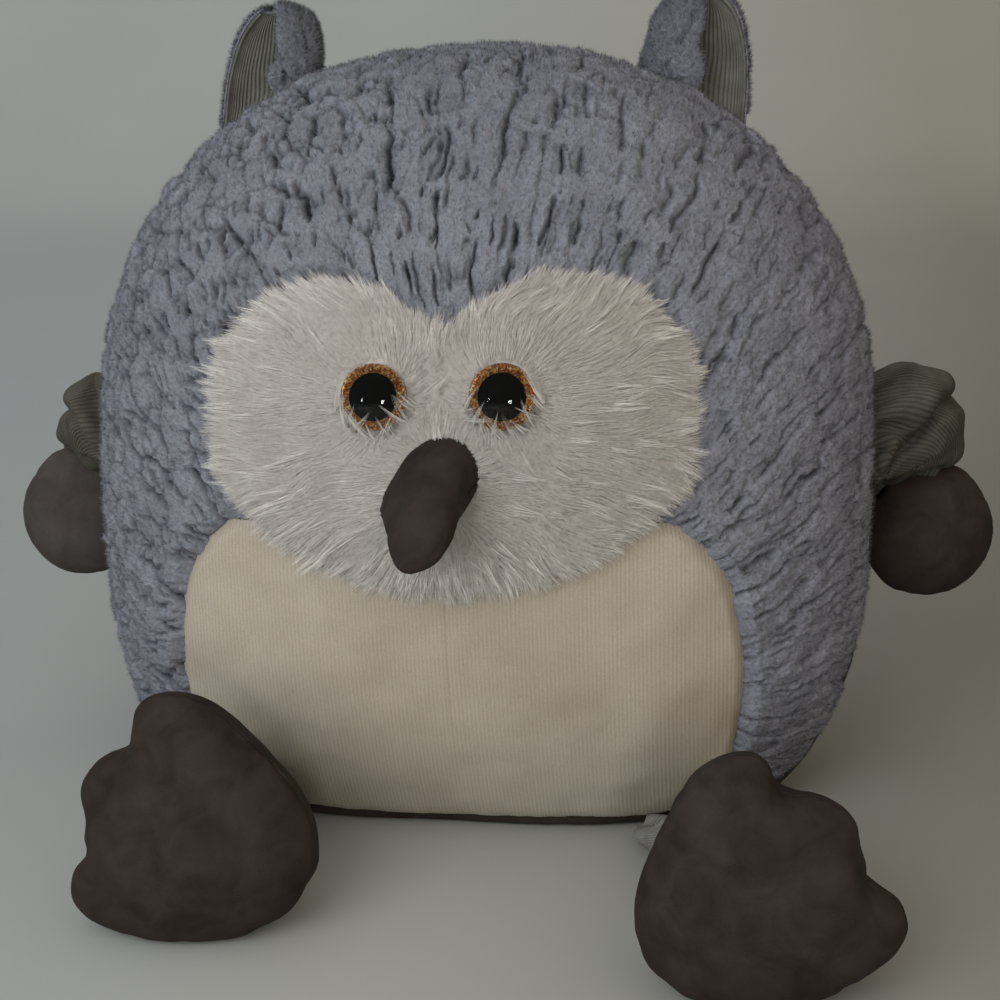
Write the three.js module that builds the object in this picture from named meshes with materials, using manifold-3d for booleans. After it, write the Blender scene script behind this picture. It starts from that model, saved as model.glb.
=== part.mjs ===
// Plush owl, sitting. Millimetres, +Z up, the face towards -Y, the owl's left side at +X.
// Shapes are drawn in the torso's own frame (x across, y back, z up its seam), which then leans back.
import * as THREE from 'three';
import Module from 'manifold-3d';
import { mergeVertices } from 'three/addons/utils/BufferGeometryUtils.js';

const wasm = await Module();
wasm.setup();

const V = (x, y, z) => new THREE.Vector3(x, y, z);
const rad = THREE.MathUtils.degToRad;

// Torso: half width, half height, and how far the front and the back swell from the seam
const torso_half_width = 178;
const torso_above = 181;
const torso_below = 185;
const torso_front = 100;
const torso_back = 84;
const torso_top_power = 2.25;
const torso_bottom_power = 3.2;
const torso_blend_rate = 2.5;
const torso_lean = rad(13);
const torso_sink = 23;
const seat_share = 0.75;
const swell_power = 2.3;
const rim_power = 1.2;

// Fabric layers, as depths below the lavender pile's outer surface
const pile_top = 0;
const face_pile_top = -4;
const belly_top = 2;
const velour_top = 3;
const cloth_back = 6;
const panel_gap = 0.3;
const stuffing_top = cloth_back + panel_gap;
const cloth = 3;
const thin_cloth = 2.5;

// Softness of the bends where the toy rests on the floor, and the flat cut there
const settle_round = 2;
const unbent = 30;
const floor_cut = 0.5;

// Side seam between the front and the back panels: [height, depth] down the torso
const side_seam = [[260, -2], [0, -2], [-60, -3], [-110, -12], [-150, -27], [-170, -35], [-260, -36]];

// Half outlines on the torso's front, from the middle of the top to the middle of the bottom
const face_half = [
  [0, 54], [20, 68], [47, 75.5], [70, 71], [87, 60.5], [100, 41],
  [101.5, 18], [96.5, -13], [62, -41.5], [30, -52], [0, -56.5],
];
const belly_half = [
  [0, -15], [60, -15], [92, -25], [108, -38], [118, -54],
  [124, -87], [122.5, -115], [118, -146], [113, -260], [0, -260],
];

// Eyes: domes on posts, each with a washer behind the cloth
const eye_x = 26;
const eye_z = 25.5;
const eye_radius = 13.5;
const eye_dome = 7.3;
const eye_edge = 0.8;
const pupil_radius = 9;
const pupil_depth = 1.8;
const iris_depth = 1;
const flange_depth = 1.6;
const flange_radius = 13.1;
const stem_radius = 3.2;
const stem_length = 15;
const washer_radius = 10.5;
const washer_depth = 2;
const washer_back = 5.8;
const part_gap = 0.3;

// Beak: a padded cone on the face, its tip hooked down
const beak_z = -17.5;
const beak_half_width = 19.5;
const beak_half_height = 25;
const beak_length = 37;
const beak_hook = 17;
const beak_taper = 0.25;
const beak_round = 0.8;

// Ears and arms are sewn in just in front of the side seam
const sewn_y = -3.2;

// Ears: cupped flaps along the torso's top seam
const ear_x = 98.5;
const ear_half_width = 25;
const ear_top = 204;
const ear_curl = 10;
const ear_tip_share = 0.97;
const ear_flat_tip = 0.7;
const ear_root = 3;
const ear_root_share = 0.3;
const ear_overrun = 2;
const ear_edge = 4;
const ear_middle = 10;
const ear_whole_shares = { inner: -1, outer: 1, low: 0, high: 1 };
const ear_lining_shares = { inner: -0.42, outer: 0.8, low: 0.14, high: 0.84 };
const ear_swing = 25;

// Arms: a sleeve on the side seam and a flat padded hand below it
const hand_out = 26;
const hand_behind = 36;
const hand_below = 36;
const hand_centre = V(torso_half_width + hand_out, hand_behind, -hand_below);
const hand_radius = 33.5;
const hand_front = 17;
const hand_back = 17;
const wrist_above = 25;
const wrist_tilt = rad(18);
const wrist_overrun = 0.2;
const sleeve_turned = V(1, 0, 0.4);
const sleeve_height = 8;
const sleeve_path = [
  [torso_half_width, sewn_y, sleeve_height],
  [torso_half_width + hand_out / 2, 0.2 * hand_behind, sleeve_height + 3],
  [torso_half_width + hand_out, 0.6 * hand_behind, sleeve_height - 1],
];
const sleeve_sizes = [[29, 1.2], [26, 12], [20, 15]];
const wrist_size = [18, 9.5];
const shoulder_back = -8;
const shoulder_front = 60;
const wrist_swing = 35;

// Legs: a sleeve on the bottom seam and a three-toed padded foot
const hip_x = 100;
const hip_forward = 73.4;
const hip_height = 7;
const hip = V(hip_x, -hip_forward, hip_height);
const foot_front = 22;
const foot_back = 34;
const foot_sink = 5;
const foot_pitch = rad(12);
const foot_place = { left: [124, -186], right: [-92, -160] };
const foot_scale = 1.04;
const foot_turn = { left: rad(21), right: 0 };
const leg_root = [26, 1.2];
const leg_start = [26, 8];
const leg_straight = 13;
const leg_leaves = V(0, -leg_straight, 4);
const leg_bend = 0.6;
const leg_rise = V(0, 0, 2);
const leg_steps = 6;
const ankle_lead = 24;
const leg_middle = [23, 17];
const leg_end = [20, 20];
const ankle_inset = 9;
const hip_up = -8;
const hip_down = 60;
const ankle_swing = 15;
const foot_outline = [
  [22, 40], [18.5, 45.5], [12, 48], [3.5, 48], [-5, 45.5], [-13, 40], [-19.5, 34], [-28, 26],
  [-37, 16], [-42.5, 7.5], [-45.5, -1], [-46.5, -11], [-45.5, -17.5], [-41.5, -24.5], [-37, -32],
  [-31, -36.5], [-25.5, -39.5], [-18, -44], [-10, -46.5], [0, -48], [10.5, -48], [21, -46.5],
  [32.5, -43.5], [42.5, -39], [48, -33], [49, -27.5], [48, -21], [44.5, -17], [40.5, -11],
  [42, -7.5], [42.5, 0.5], [44, 9], [42.5, 15], [38.5, 20.5], [33.5, 24.5], [27, 27], [22.5, 31],
];

// Mesh fineness
const torso_columns = 36;
const torso_rows = 7;
const limb_columns = 20;
const tube_columns = 16;
const tube_steps = 5;
const sleeve_overrun = 6;
const limb_rows = 4;
const beak_rows = 6;
const dome_steps = 6;
const ear_columns = 8;
const ear_rows = 7;
const lining_steps = 6;
const search_steps = 40;
const foot_columns = 36;
const foot_rows = 4;
const outline_points = 40;
const turned_sides = 20;
const reach = 260;
const prism_start = 20;
const smallest_edge = 0.02;

const cloth_material = (colour) => new THREE.MeshStandardMaterial({
  color: colour, roughness: 0.95, metalness: 0,
});
const lavender = cloth_material(0x8a8fa0);
const white = cloth_material(0xb4b0a6);
const cream = cloth_material(0xab9f8a);
const grey_cord = cloth_material(0x6b6d69);
const dark = cloth_material(0x3c3532);
const filling = cloth_material(0xe6e4de);
const clear = new THREE.MeshStandardMaterial({
  color: 0xffffff, roughness: 0.05, metalness: 0, transparent: true, opacity: 0.35,
});
const amber = new THREE.MeshStandardMaterial({ color: 0x9a4f16, roughness: 0.35, metalness: 0.2 });
const black = new THREE.MeshStandardMaterial({ color: 0x080808, roughness: 0.12, metalness: 0 });
const plastic = new THREE.MeshStandardMaterial({ color: 0x1c1c1c, roughness: 0.5, metalness: 0 });

// Conversions between geometries and solids; a mirrored or inside-out skin is turned the right way out
function solid(geometry) {
  const bare = geometry.index ? geometry.toNonIndexed() : geometry.clone();
  for (const name of Object.keys(bare.attributes)) {
    if (name !== 'position') bare.deleteAttribute(name);
  }
  const welded = mergeVertices(bare, 1e-4);
  const corners = Array.from(welded.index.array);
  const body = (triVerts) => new wasm.Manifold(new wasm.Mesh({
    numProp: 3,
    vertProperties: new Float32Array(welded.attributes.position.array),
    triVerts: new Uint32Array(triVerts),
  }));
  const built = body(corners);
  return built.volume() > 0 ? built : body(corners.reverse());
}

function geometryOf(body) {
  const mesh = body.getMesh();
  const geometry = new THREE.BufferGeometry();
  const points = new Float32Array(mesh.numVert * 3);
  for (let i = 0; i < mesh.numVert; i += 1) {
    for (let k = 0; k < 3; k += 1) points[i * 3 + k] = mesh.vertProperties[i * mesh.numProp + k];
  }
  geometry.setAttribute('position', new THREE.BufferAttribute(points, 3));
  geometry.setIndex(Array.from(mesh.triVerts));
  return geometry;
}

const moved = (body, matrix) => solid(geometryOf(body).applyMatrix4(matrix));

function largest(body) {
  return body.decompose().sort((a, b) => b.volume() - a.volume())[0];
}

const group = new THREE.Group();

function add(name, body, material) {
  const geometry = geometryOf(largest(body).simplify(smallest_edge)).toNonIndexed();
  geometry.computeVertexNormals();
  const mesh = new THREE.Mesh(geometry, material);
  mesh.name = name;
  group.add(mesh);
}

// A closed skin over rings of equal length; a ring of one point closes an end, a longer one gets a fan
function loft(rings) {
  const triangles = [];
  const full = rings.filter((ring) => ring.length > 1);
  const count = full[0].length;
  const tri = (a, b, c) => triangles.push(...a.toArray(), ...b.toArray(), ...c.toArray());
  for (let j = 0; j + 1 < full.length; j += 1) {
    for (let i = 0; i < count; i += 1) {
      const n = (i + 1) % count;
      tri(full[j][i], full[j + 1][i], full[j + 1][n]);
      tri(full[j][i], full[j + 1][n], full[j][n]);
    }
  }
  const middle = (ring) => ring.reduce((sum, p) => sum.add(p), V(0, 0, 0)).divideScalar(ring.length);
  const first = rings[0].length > 1 ? middle(full[0]) : rings[0][0];
  const last = rings.at(-1).length > 1 ? middle(full.at(-1)) : rings.at(-1)[0];
  for (let i = 0; i < count; i += 1) {
    const n = (i + 1) % count;
    tri(first, full[0][i], full[0][n]);
    tri(last, full.at(-1)[n], full.at(-1)[i]);
  }
  const geometry = new THREE.BufferGeometry();
  geometry.setAttribute('position', new THREE.Float32BufferAttribute(triangles, 3));
  return solid(geometry);
}

// A pillow: an outline in x and z, swelling to the front (-y) and to the back
function pillow({ radius, front, back, inset, columns, rows }) {
  const ring = (phi, depth) => {
    const share = Math.sin(phi) ** (2 / swell_power);
    const y = depth * Math.cos(phi) ** rim_power;
    return Array.from({ length: columns }, (_, i) => {
      const angle = (2 * Math.PI * i) / columns;
      const r = share * (radius(angle) - inset);
      return V(r * Math.cos(angle), y, r * Math.sin(angle));
    });
  };
  const phis = Array.from({ length: rows }, (_, j) => (Math.PI / 2) * ((j + 1) / rows));
  const rings = [[V(0, -(front - inset), 0)]];
  for (const phi of phis.slice(0, -1)) rings.push(ring(phi, -(front - inset)));
  rings.push(ring(Math.PI / 2, 0));
  for (const phi of phis.slice(0, -1).reverse()) rings.push(ring(phi, back - inset));
  rings.push([V(0, back - inset, 0)]);
  return loft(rings);
}

function torsoRadius(angle) {
  const s = Math.sin(angle);
  const top = 0.5 + 0.5 * Math.tanh(torso_blend_rate * s);
  const power = torso_bottom_power + (torso_top_power - torso_bottom_power) * top;
  const half_height = torso_below + (torso_above - torso_below) * top;
  const across = Math.abs(Math.cos(angle) / torso_half_width) ** power;
  const up = Math.abs(s / half_height) ** power;
  return (across + up) ** (-1 / power);
}

// The torso's frame stands over the floor so that its bottom presses into it by torso_sink
const torso_height = (torso_below - velour_top) * Math.cos(torso_lean) - torso_sink;
const torso_matrix = new THREE.Matrix4().makeRotationX(-torso_lean);
torso_matrix.setPosition(0, 0, torso_height);

// Presses everything below a level up to it, with a soft bend
function settled(body, level) {
  const geometry = geometryOf(body);
  const p = geometry.attributes.position;
  for (let i = 0; i < p.count; i += 1) {
    const t = (p.getZ(i) - level) / settle_round;
    p.setZ(i, level + settle_round * (t > unbent ? t : Math.log1p(Math.exp(t))));
  }
  return solid(geometry);
}

function torsoLayer(inset) {
  const body = pillow({
    radius: torsoRadius, front: torso_front, back: torso_back, inset,
    columns: torso_columns, rows: torso_rows,
  });
  return settled(moved(body, torso_matrix), Math.max(0, inset - velour_top));
}

// Smooth closed outline through points, as samples in x and z
function smoothOutline(points, samples) {
  const curve = new THREE.CatmullRomCurve3(points.map(([x, z]) => V(x, 0, z)), true, 'centripetal');
  return curve.getSpacedPoints(samples).slice(0, -1).map((p) => [p.x, p.z]);
}

function bothHalves(half) {
  const inner = half.slice(1, -1);
  return [...half, ...inner.reverse().map(([x, z]) => [-x, z])];
}

function grownOutline(points, by) {
  const count = points.length;
  return points.map(([x, z], i) => {
    const [ax, az] = points[(i + count - 1) % count];
    const [bx, bz] = points[(i + 1) % count];
    const length = Math.hypot(bx - ax, bz - az);
    return [x - (by * (bz - az)) / length, z + (by * (bx - ax)) / length];
  });
}

// A straight prism of an x, z outline, running forward from y = start for a depth
function prism(points, start, depth) {
  const shape = new THREE.Shape(points.map(([x, z]) => new THREE.Vector2(x, z)));
  const geometry = new THREE.ExtrudeGeometry(shape, { depth, bevelEnabled: false });
  const basis = new THREE.Matrix4().makeBasis(V(1, 0, 0), V(0, 0, 1), V(0, -1, 0));
  return solid(geometry.applyMatrix4(basis.setPosition(0, start, 0)));
}

// The space in front of the side seam (side -1) or behind it (side 1), set off from the seam
function seamSide(side, off) {
  const edge = side_seam.map(([z, y]) => new THREE.Vector2(y + side * off, z));
  const shape = new THREE.Shape([
    ...edge, new THREE.Vector2(side * reach, -reach), new THREE.Vector2(side * reach, reach),
  ]);
  const geometry = new THREE.ExtrudeGeometry(shape, { depth: 2 * reach, bevelEnabled: false });
  const basis = new THREE.Matrix4().makeBasis(V(0, 1, 0), V(0, 0, 1), V(1, 0, 0));
  return moved(solid(geometry.applyMatrix4(basis.setPosition(-reach, 0, 0))), torso_matrix);
}

// Torso covers and stuffing
const cloth_inside = torsoLayer(cloth_back);
const in_front = seamSide(-1, panel_gap / 2);
const face_line = smoothOutline(bothHalves(face_half), outline_points);
const face_room = moved(prism(grownOutline(face_line, panel_gap), -prism_start, reach), torso_matrix);
const face_block = moved(prism(face_line, -prism_start, reach), torso_matrix);
const belly_line = smoothOutline(bothHalves(belly_half), outline_points);
const belly_block = moved(prism(belly_line, prism_start, reach), torso_matrix);
const belly_room = moved(prism(grownOutline(belly_line, panel_gap), prism_start, reach), torso_matrix);

const front_cover = torsoLayer(pile_top).subtract(cloth_inside).intersect(in_front)
  .subtract(face_room).subtract(belly_room);
const belly_patch = torsoLayer(belly_top).subtract(cloth_inside).intersect(in_front)
  .intersect(belly_block).subtract(face_room);
const back_cover = torsoLayer(velour_top).subtract(cloth_inside).intersect(seamSide(1, panel_gap / 2));
let face_patch = torsoLayer(face_pile_top).subtract(cloth_inside).intersect(face_block);
let body_stuffing = torsoLayer(stuffing_top);

const floor_block = moved(
  solid(new THREE.BoxGeometry(4 * reach, 4 * reach, reach)),
  new THREE.Matrix4().makeTranslation(0, 0, floor_cut - reach / 2),
);

// Turned parts: a profile of [radius, height], standing forward from a point of the torso's front
function turned(profile, place) {
  const points = profile.map(([r, s]) => new THREE.Vector2(r, s));
  const geometry = new THREE.LatheGeometry(points, turned_sides);
  const basis = new THREE.Matrix4().makeBasis(V(1, 0, 0), V(0, -1, 0), V(0, 0, -1));
  return solid(geometry.applyMatrix4(basis.setPosition(place)).applyMatrix4(torso_matrix));
}

const disc = (radius, from, to) => [[0, from], [radius, from], [radius, to], [0, to]];

function frontDepth(x, z, inset) {
  const share = Math.hypot(x, z) / (torsoRadius(Math.atan2(z, x)) - inset);
  return (torso_front - inset) * (1 - share ** swell_power) ** (rim_power / 2);
}

const sides = { left: 1, right: -1 };
const eye_sits = belly_top;

for (const [side, sign] of Object.entries(sides)) {
  const place = V(sign * eye_x, -frontDepth(eye_x, eye_z, eye_sits), eye_z);
  const iris_from = flange_depth + part_gap;
  const lens_from = iris_from + iris_depth + part_gap;
  const recess = lens_from + pupil_depth + part_gap;
  const dome_points = Array.from({ length: dome_steps + 1 }, (_, i) => {
    const angle = (Math.PI / 2) * (i / dome_steps);
    return [eye_radius * Math.cos(angle), lens_from + eye_edge + eye_dome * Math.sin(angle)];
  });
  const lens_profile = [
    [0, recess], [pupil_radius + part_gap, recess], [pupil_radius + part_gap, lens_from],
    [eye_radius, lens_from], ...dome_points.slice(0, -1), [0, lens_from + eye_edge + eye_dome],
  ];
  add(`eye_${side}_lens`, turned(lens_profile, place), clear);
  add(`eye_${side}_pupil`, turned(disc(pupil_radius, lens_from, lens_from + pupil_depth), place), black);
  add(`eye_${side}_iris`, turned(disc(flange_radius, iris_from, iris_from + iris_depth), place), amber);
  const post_profile = [
    [0, -stem_length], [stem_radius, -stem_length], [stem_radius, 0],
    [flange_radius, 0], [flange_radius, flange_depth], [0, flange_depth],
  ];
  add(`eye_${side}_post`, turned(post_profile, place), plastic);
  const hole = stem_radius + part_gap;
  const washer_profile = [
    [hole, -washer_back - washer_depth], [washer_radius, -washer_back - washer_depth],
    [washer_radius, -washer_back], [hole, -washer_back], [hole, -washer_back - washer_depth],
  ];
  add(`eye_${side}_washer`, turned(washer_profile, place), plastic);
  const stem_room = turned(disc(hole, -stem_length - part_gap, reach / 2), place);
  const washer_room_from = -washer_back - washer_depth - part_gap;
  face_patch = face_patch
    .subtract(turned(disc(eye_radius + part_gap, -part_gap, reach / 2), place))
    .subtract(stem_room);
  body_stuffing = body_stuffing
    .subtract(turned(disc(washer_radius + part_gap, washer_room_from, reach / 2), place))
    .subtract(stem_room);
}

// Beak
const beak_base = -frontDepth(0, beak_z - beak_half_height, belly_top);

// The beak's solid at a depth under its cloth, its base carried back by a length
function beakBody(inset, carried) {
  const ring = (phi, y) => Array.from({ length: limb_columns }, (_, i) => {
    const angle = (2 * Math.PI * i) / limb_columns;
    const size = Math.cos(phi) ** beak_round;
    const droop = beak_hook * Math.sin(phi) ** 2;
    const narrow = 1 + beak_taper * Math.sin(angle);
    return V(
      (beak_half_width - inset) * size * narrow * Math.cos(angle),
      y,
      beak_z - droop + (beak_half_height - inset) * size * Math.sin(angle),
    );
  });
  const rings = carried > 0 ? [ring(0, beak_base + carried)] : [];
  for (let j = 0; j < beak_rows; j += 1) {
    const phi = (Math.PI / 2) * (j / beak_rows);
    rings.push(ring(phi, beak_base - (beak_length - inset) * Math.sin(phi)));
  }
  rings.push([V(0, beak_base - beak_length + inset, beak_z - beak_hook)]);
  return moved(loft(rings), torso_matrix);
}

add('beak_cover', beakBody(0, 0).subtract(beakBody(thin_cloth, cloth)), dark);
add('beak_stuffing', beakBody(thin_cloth + part_gap, 0), filling);
face_patch = face_patch.subtract(beakBody(-part_gap, part_gap));

add('front_cover', front_cover.subtract(floor_block), lavender);
add('belly_patch', belly_patch.subtract(floor_block), cream);
add('back_cover', back_cover.subtract(floor_block), dark);
add('face_patch', face_patch, white);
add('body_stuffing', body_stuffing, filling);

// The torso with a small gap all round, which clears room for a limb as it swings
const plush_room = torsoLayer(pile_top - part_gap)
  .intersect(seamSide(-1, -panel_gap))
  .subtract(belly_block);
const torso_room = torsoLayer(belly_top - part_gap).add(plush_room);

function turnAbout(point, axis, degrees) {
  return new THREE.Matrix4().makeTranslation(point.x, point.y, point.z)
    .multiply(new THREE.Matrix4().makeRotationAxis(axis, rad(degrees)))
    .multiply(new THREE.Matrix4().makeTranslation(-point.x, -point.y, -point.z));
}

// Angles spread over a joint's range, its rest included
const swing = (low, high) => [low, low / 2, 0, high / 3, (2 * high) / 3, high];

function clearOf(child, parent, point, axis, angles) {
  const turned_back = (angle) => moved(parent, turnAbout(point, axis, -angle));
  return angles.reduce((body, angle) => body.subtract(turned_back(angle)), child);
}

// Ears: a cupped sheet from a front and a back grid that share their edge
function sheet(front, back) {
  const rows = front.length;
  const columns = front[0].length;
  const triangles = [];
  const tri = (a, b, c) => triangles.push(...a.toArray(), ...b.toArray(), ...c.toArray());
  const quad = (a, b, c, d) => {
    tri(a, b, c);
    tri(a, c, d);
  };
  for (let j = 0; j + 1 < rows; j += 1) {
    for (let i = 0; i + 1 < columns; i += 1) {
      quad(front[j][i], front[j][i + 1], front[j + 1][i + 1], front[j + 1][i]);
      quad(back[j][i], back[j + 1][i], back[j + 1][i + 1], back[j][i + 1]);
    }
    quad(front[j][0], front[j + 1][0], back[j + 1][0], back[j][0]);
    const e = columns - 1;
    quad(front[j + 1][e], front[j][e], back[j][e], back[j + 1][e]);
  }
  const t = rows - 1;
  for (let i = 0; i + 1 < columns; i += 1) {
    quad(front[0][i + 1], front[0][i], back[0][i], back[0][i + 1]);
    quad(front[t][i], front[t][i + 1], back[t][i + 1], back[t][i]);
  }
  const geometry = new THREE.BufferGeometry();
  geometry.setAttribute('position', new THREE.Float32BufferAttribute(triangles, 3));
  return geometry;
}

// The height of the torso's outline, in its upper half, over a distance from its middle
function outlineHeight(x) {
  let low = 0;
  let high = Math.PI / 2;
  for (let k = 0; k < search_steps; k += 1) {
    const angle = (low + high) / 2;
    if (torsoRadius(angle) * Math.cos(angle) > x) low = angle;
    else high = angle;
  }
  return torsoRadius(low) * Math.sin(low);
}

// A point of an ear's middle sheet: across runs from its inner edge (-1) to its outer (1), up from 0 to 1
function earPoint(across, up, offset) {
  const width = ear_half_width * Math.sqrt(1 - (up * ear_tip_share) ** 3);
  const opening = Math.min(1, up / ear_root_share) * (1 - ear_flat_tip * up * up);
  const curl = sewn_y + ear_curl * (0.5 - across * across) * opening;
  const x = ear_x + across * width;
  const low = outlineHeight(ear_x + across * ear_half_width) - ear_overrun;
  return V(x, curl + offset, low + (ear_top - low) * up);
}

// A part of the ear's sheet: from and to say how far in front of (-) or behind the middle it lies
function earLayer(range, steps, from, to) {
  const grid = (depth) => Array.from({ length: steps[1] + 1 }, (_, j) => (
    Array.from({ length: steps[0] + 1 }, (__, i) => {
      const across = range.inner + (range.outer - range.inner) * (i / steps[0]);
      const up = range.low + (range.high - range.low) * (j / steps[1]);
      return earPoint(across, up, depth(across, up));
    })
  ));
  return sheet(grid(from), grid(to));
}

function earThick(across, up) {
  const full = ear_edge + (ear_middle - ear_edge) * (1 - across * across) * (1 - up * up);
  return ear_root + (full - ear_root) * Math.min(1, up / ear_root_share);
}

for (const [side, sign] of Object.entries(sides)) {
  const mirror = new THREE.Matrix4().makeScale(sign, 1, 1);
  const placed = (geometry) => solid(geometry.applyMatrix4(mirror).applyMatrix4(torso_matrix));
  const hinge = V(sign * ear_x, sewn_y, outlineHeight(ear_x)).applyMatrix4(torso_matrix);
  const slope = outlineHeight(ear_x + ear_half_width) - outlineHeight(ear_x - ear_half_width);
  const axis = V(2 * ear_half_width, 0, sign * slope).normalize().transformDirection(torso_matrix);
  const angles = swing(-ear_swing, ear_swing);
  const half = (across, up) => earThick(across, up) / 2;
  const cover = placed(earLayer(
    ear_whole_shares, [ear_columns, ear_rows], (across, up) => -half(across, up), half,
  ));
  const lining = placed(earLayer(
    ear_lining_shares, [lining_steps, lining_steps],
    (across, up) => -half(across, up) - part_gap - thin_cloth,
    (across, up) => -half(across, up) - part_gap,
  ));
  add(`ear_${side}_cover`, clearOf(cover, torso_room, hinge, axis, angles), lavender);
  add(`ear_${side}_lining`, clearOf(lining, torso_room, hinge, axis, angles), grey_cord);
}

// A tube of elliptical rings along a path; each ring is [half along v, half along w]
function tube(rings, columns, inset) {
  return loft(rings.map(({ centre, v, w, size }) => Array.from({ length: columns }, (_, i) => {
    const angle = (2 * Math.PI * i) / columns;
    return centre.clone()
      .addScaledVector(v, (size[0] - inset) * Math.cos(angle))
      .addScaledVector(w, (size[1] - inset) * Math.sin(angle));
  })));
}

// Rings along a smooth path, from one set of directions and sizes to another
function ringsAlong(points, sizes, v_start, v_end, steps) {
  const curve = new THREE.CatmullRomCurve3(points, false, 'centripetal');
  const rings = [];
  for (let j = 0; j <= steps; j += 1) {
    const t = j / steps;
    const tangent = curve.getTangent(t);
    const wish = v_start.clone().lerp(v_end, t).normalize();
    const v = wish.clone().addScaledVector(tangent, -wish.dot(tangent)).normalize();
    const w = tangent.clone().cross(v).normalize();
    const place = t * (sizes.length - 1);
    const k = Math.min(Math.floor(place), sizes.length - 2);
    const mix = place - k;
    const size = [0, 1].map((n) => sizes[k][n] + (sizes[k + 1][n] - sizes[k][n]) * mix);
    rings.push({ centre: curve.getPoint(t), v, w, size });
  }
  return rings;
}

// The inside of a sleeve: it starts past the flat sewn root and runs out of the far end
function sleeveInside(rings, by) {
  const last = rings.at(-1);
  const end = last.centre.clone().sub(rings.at(-2).centre).normalize();
  return [...rings.slice(1), { ...last, centre: last.centre.clone().addScaledVector(end, by) }];
}

function padded(name, outer, inner, core, front_of, behind, cuts, material, names) {
  const shell = outer.subtract(inner);
  add(`${name}_${names[0]}`, cuts(shell.intersect(front_of)), material);
  add(`${name}_${names[1]}`, cuts(shell.intersect(behind)), material);
  add(`${name}_stuffing`, cuts(core), filling);
}

// The half spaces in front of and behind a limb's own seam plane
function halfSpace(side, matrix) {
  const box = new THREE.BoxGeometry(2 * reach, reach, 2 * reach);
  box.translate(0, side * (reach / 2 + panel_gap / 2), 0);
  return solid(box.applyMatrix4(matrix));
}

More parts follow.
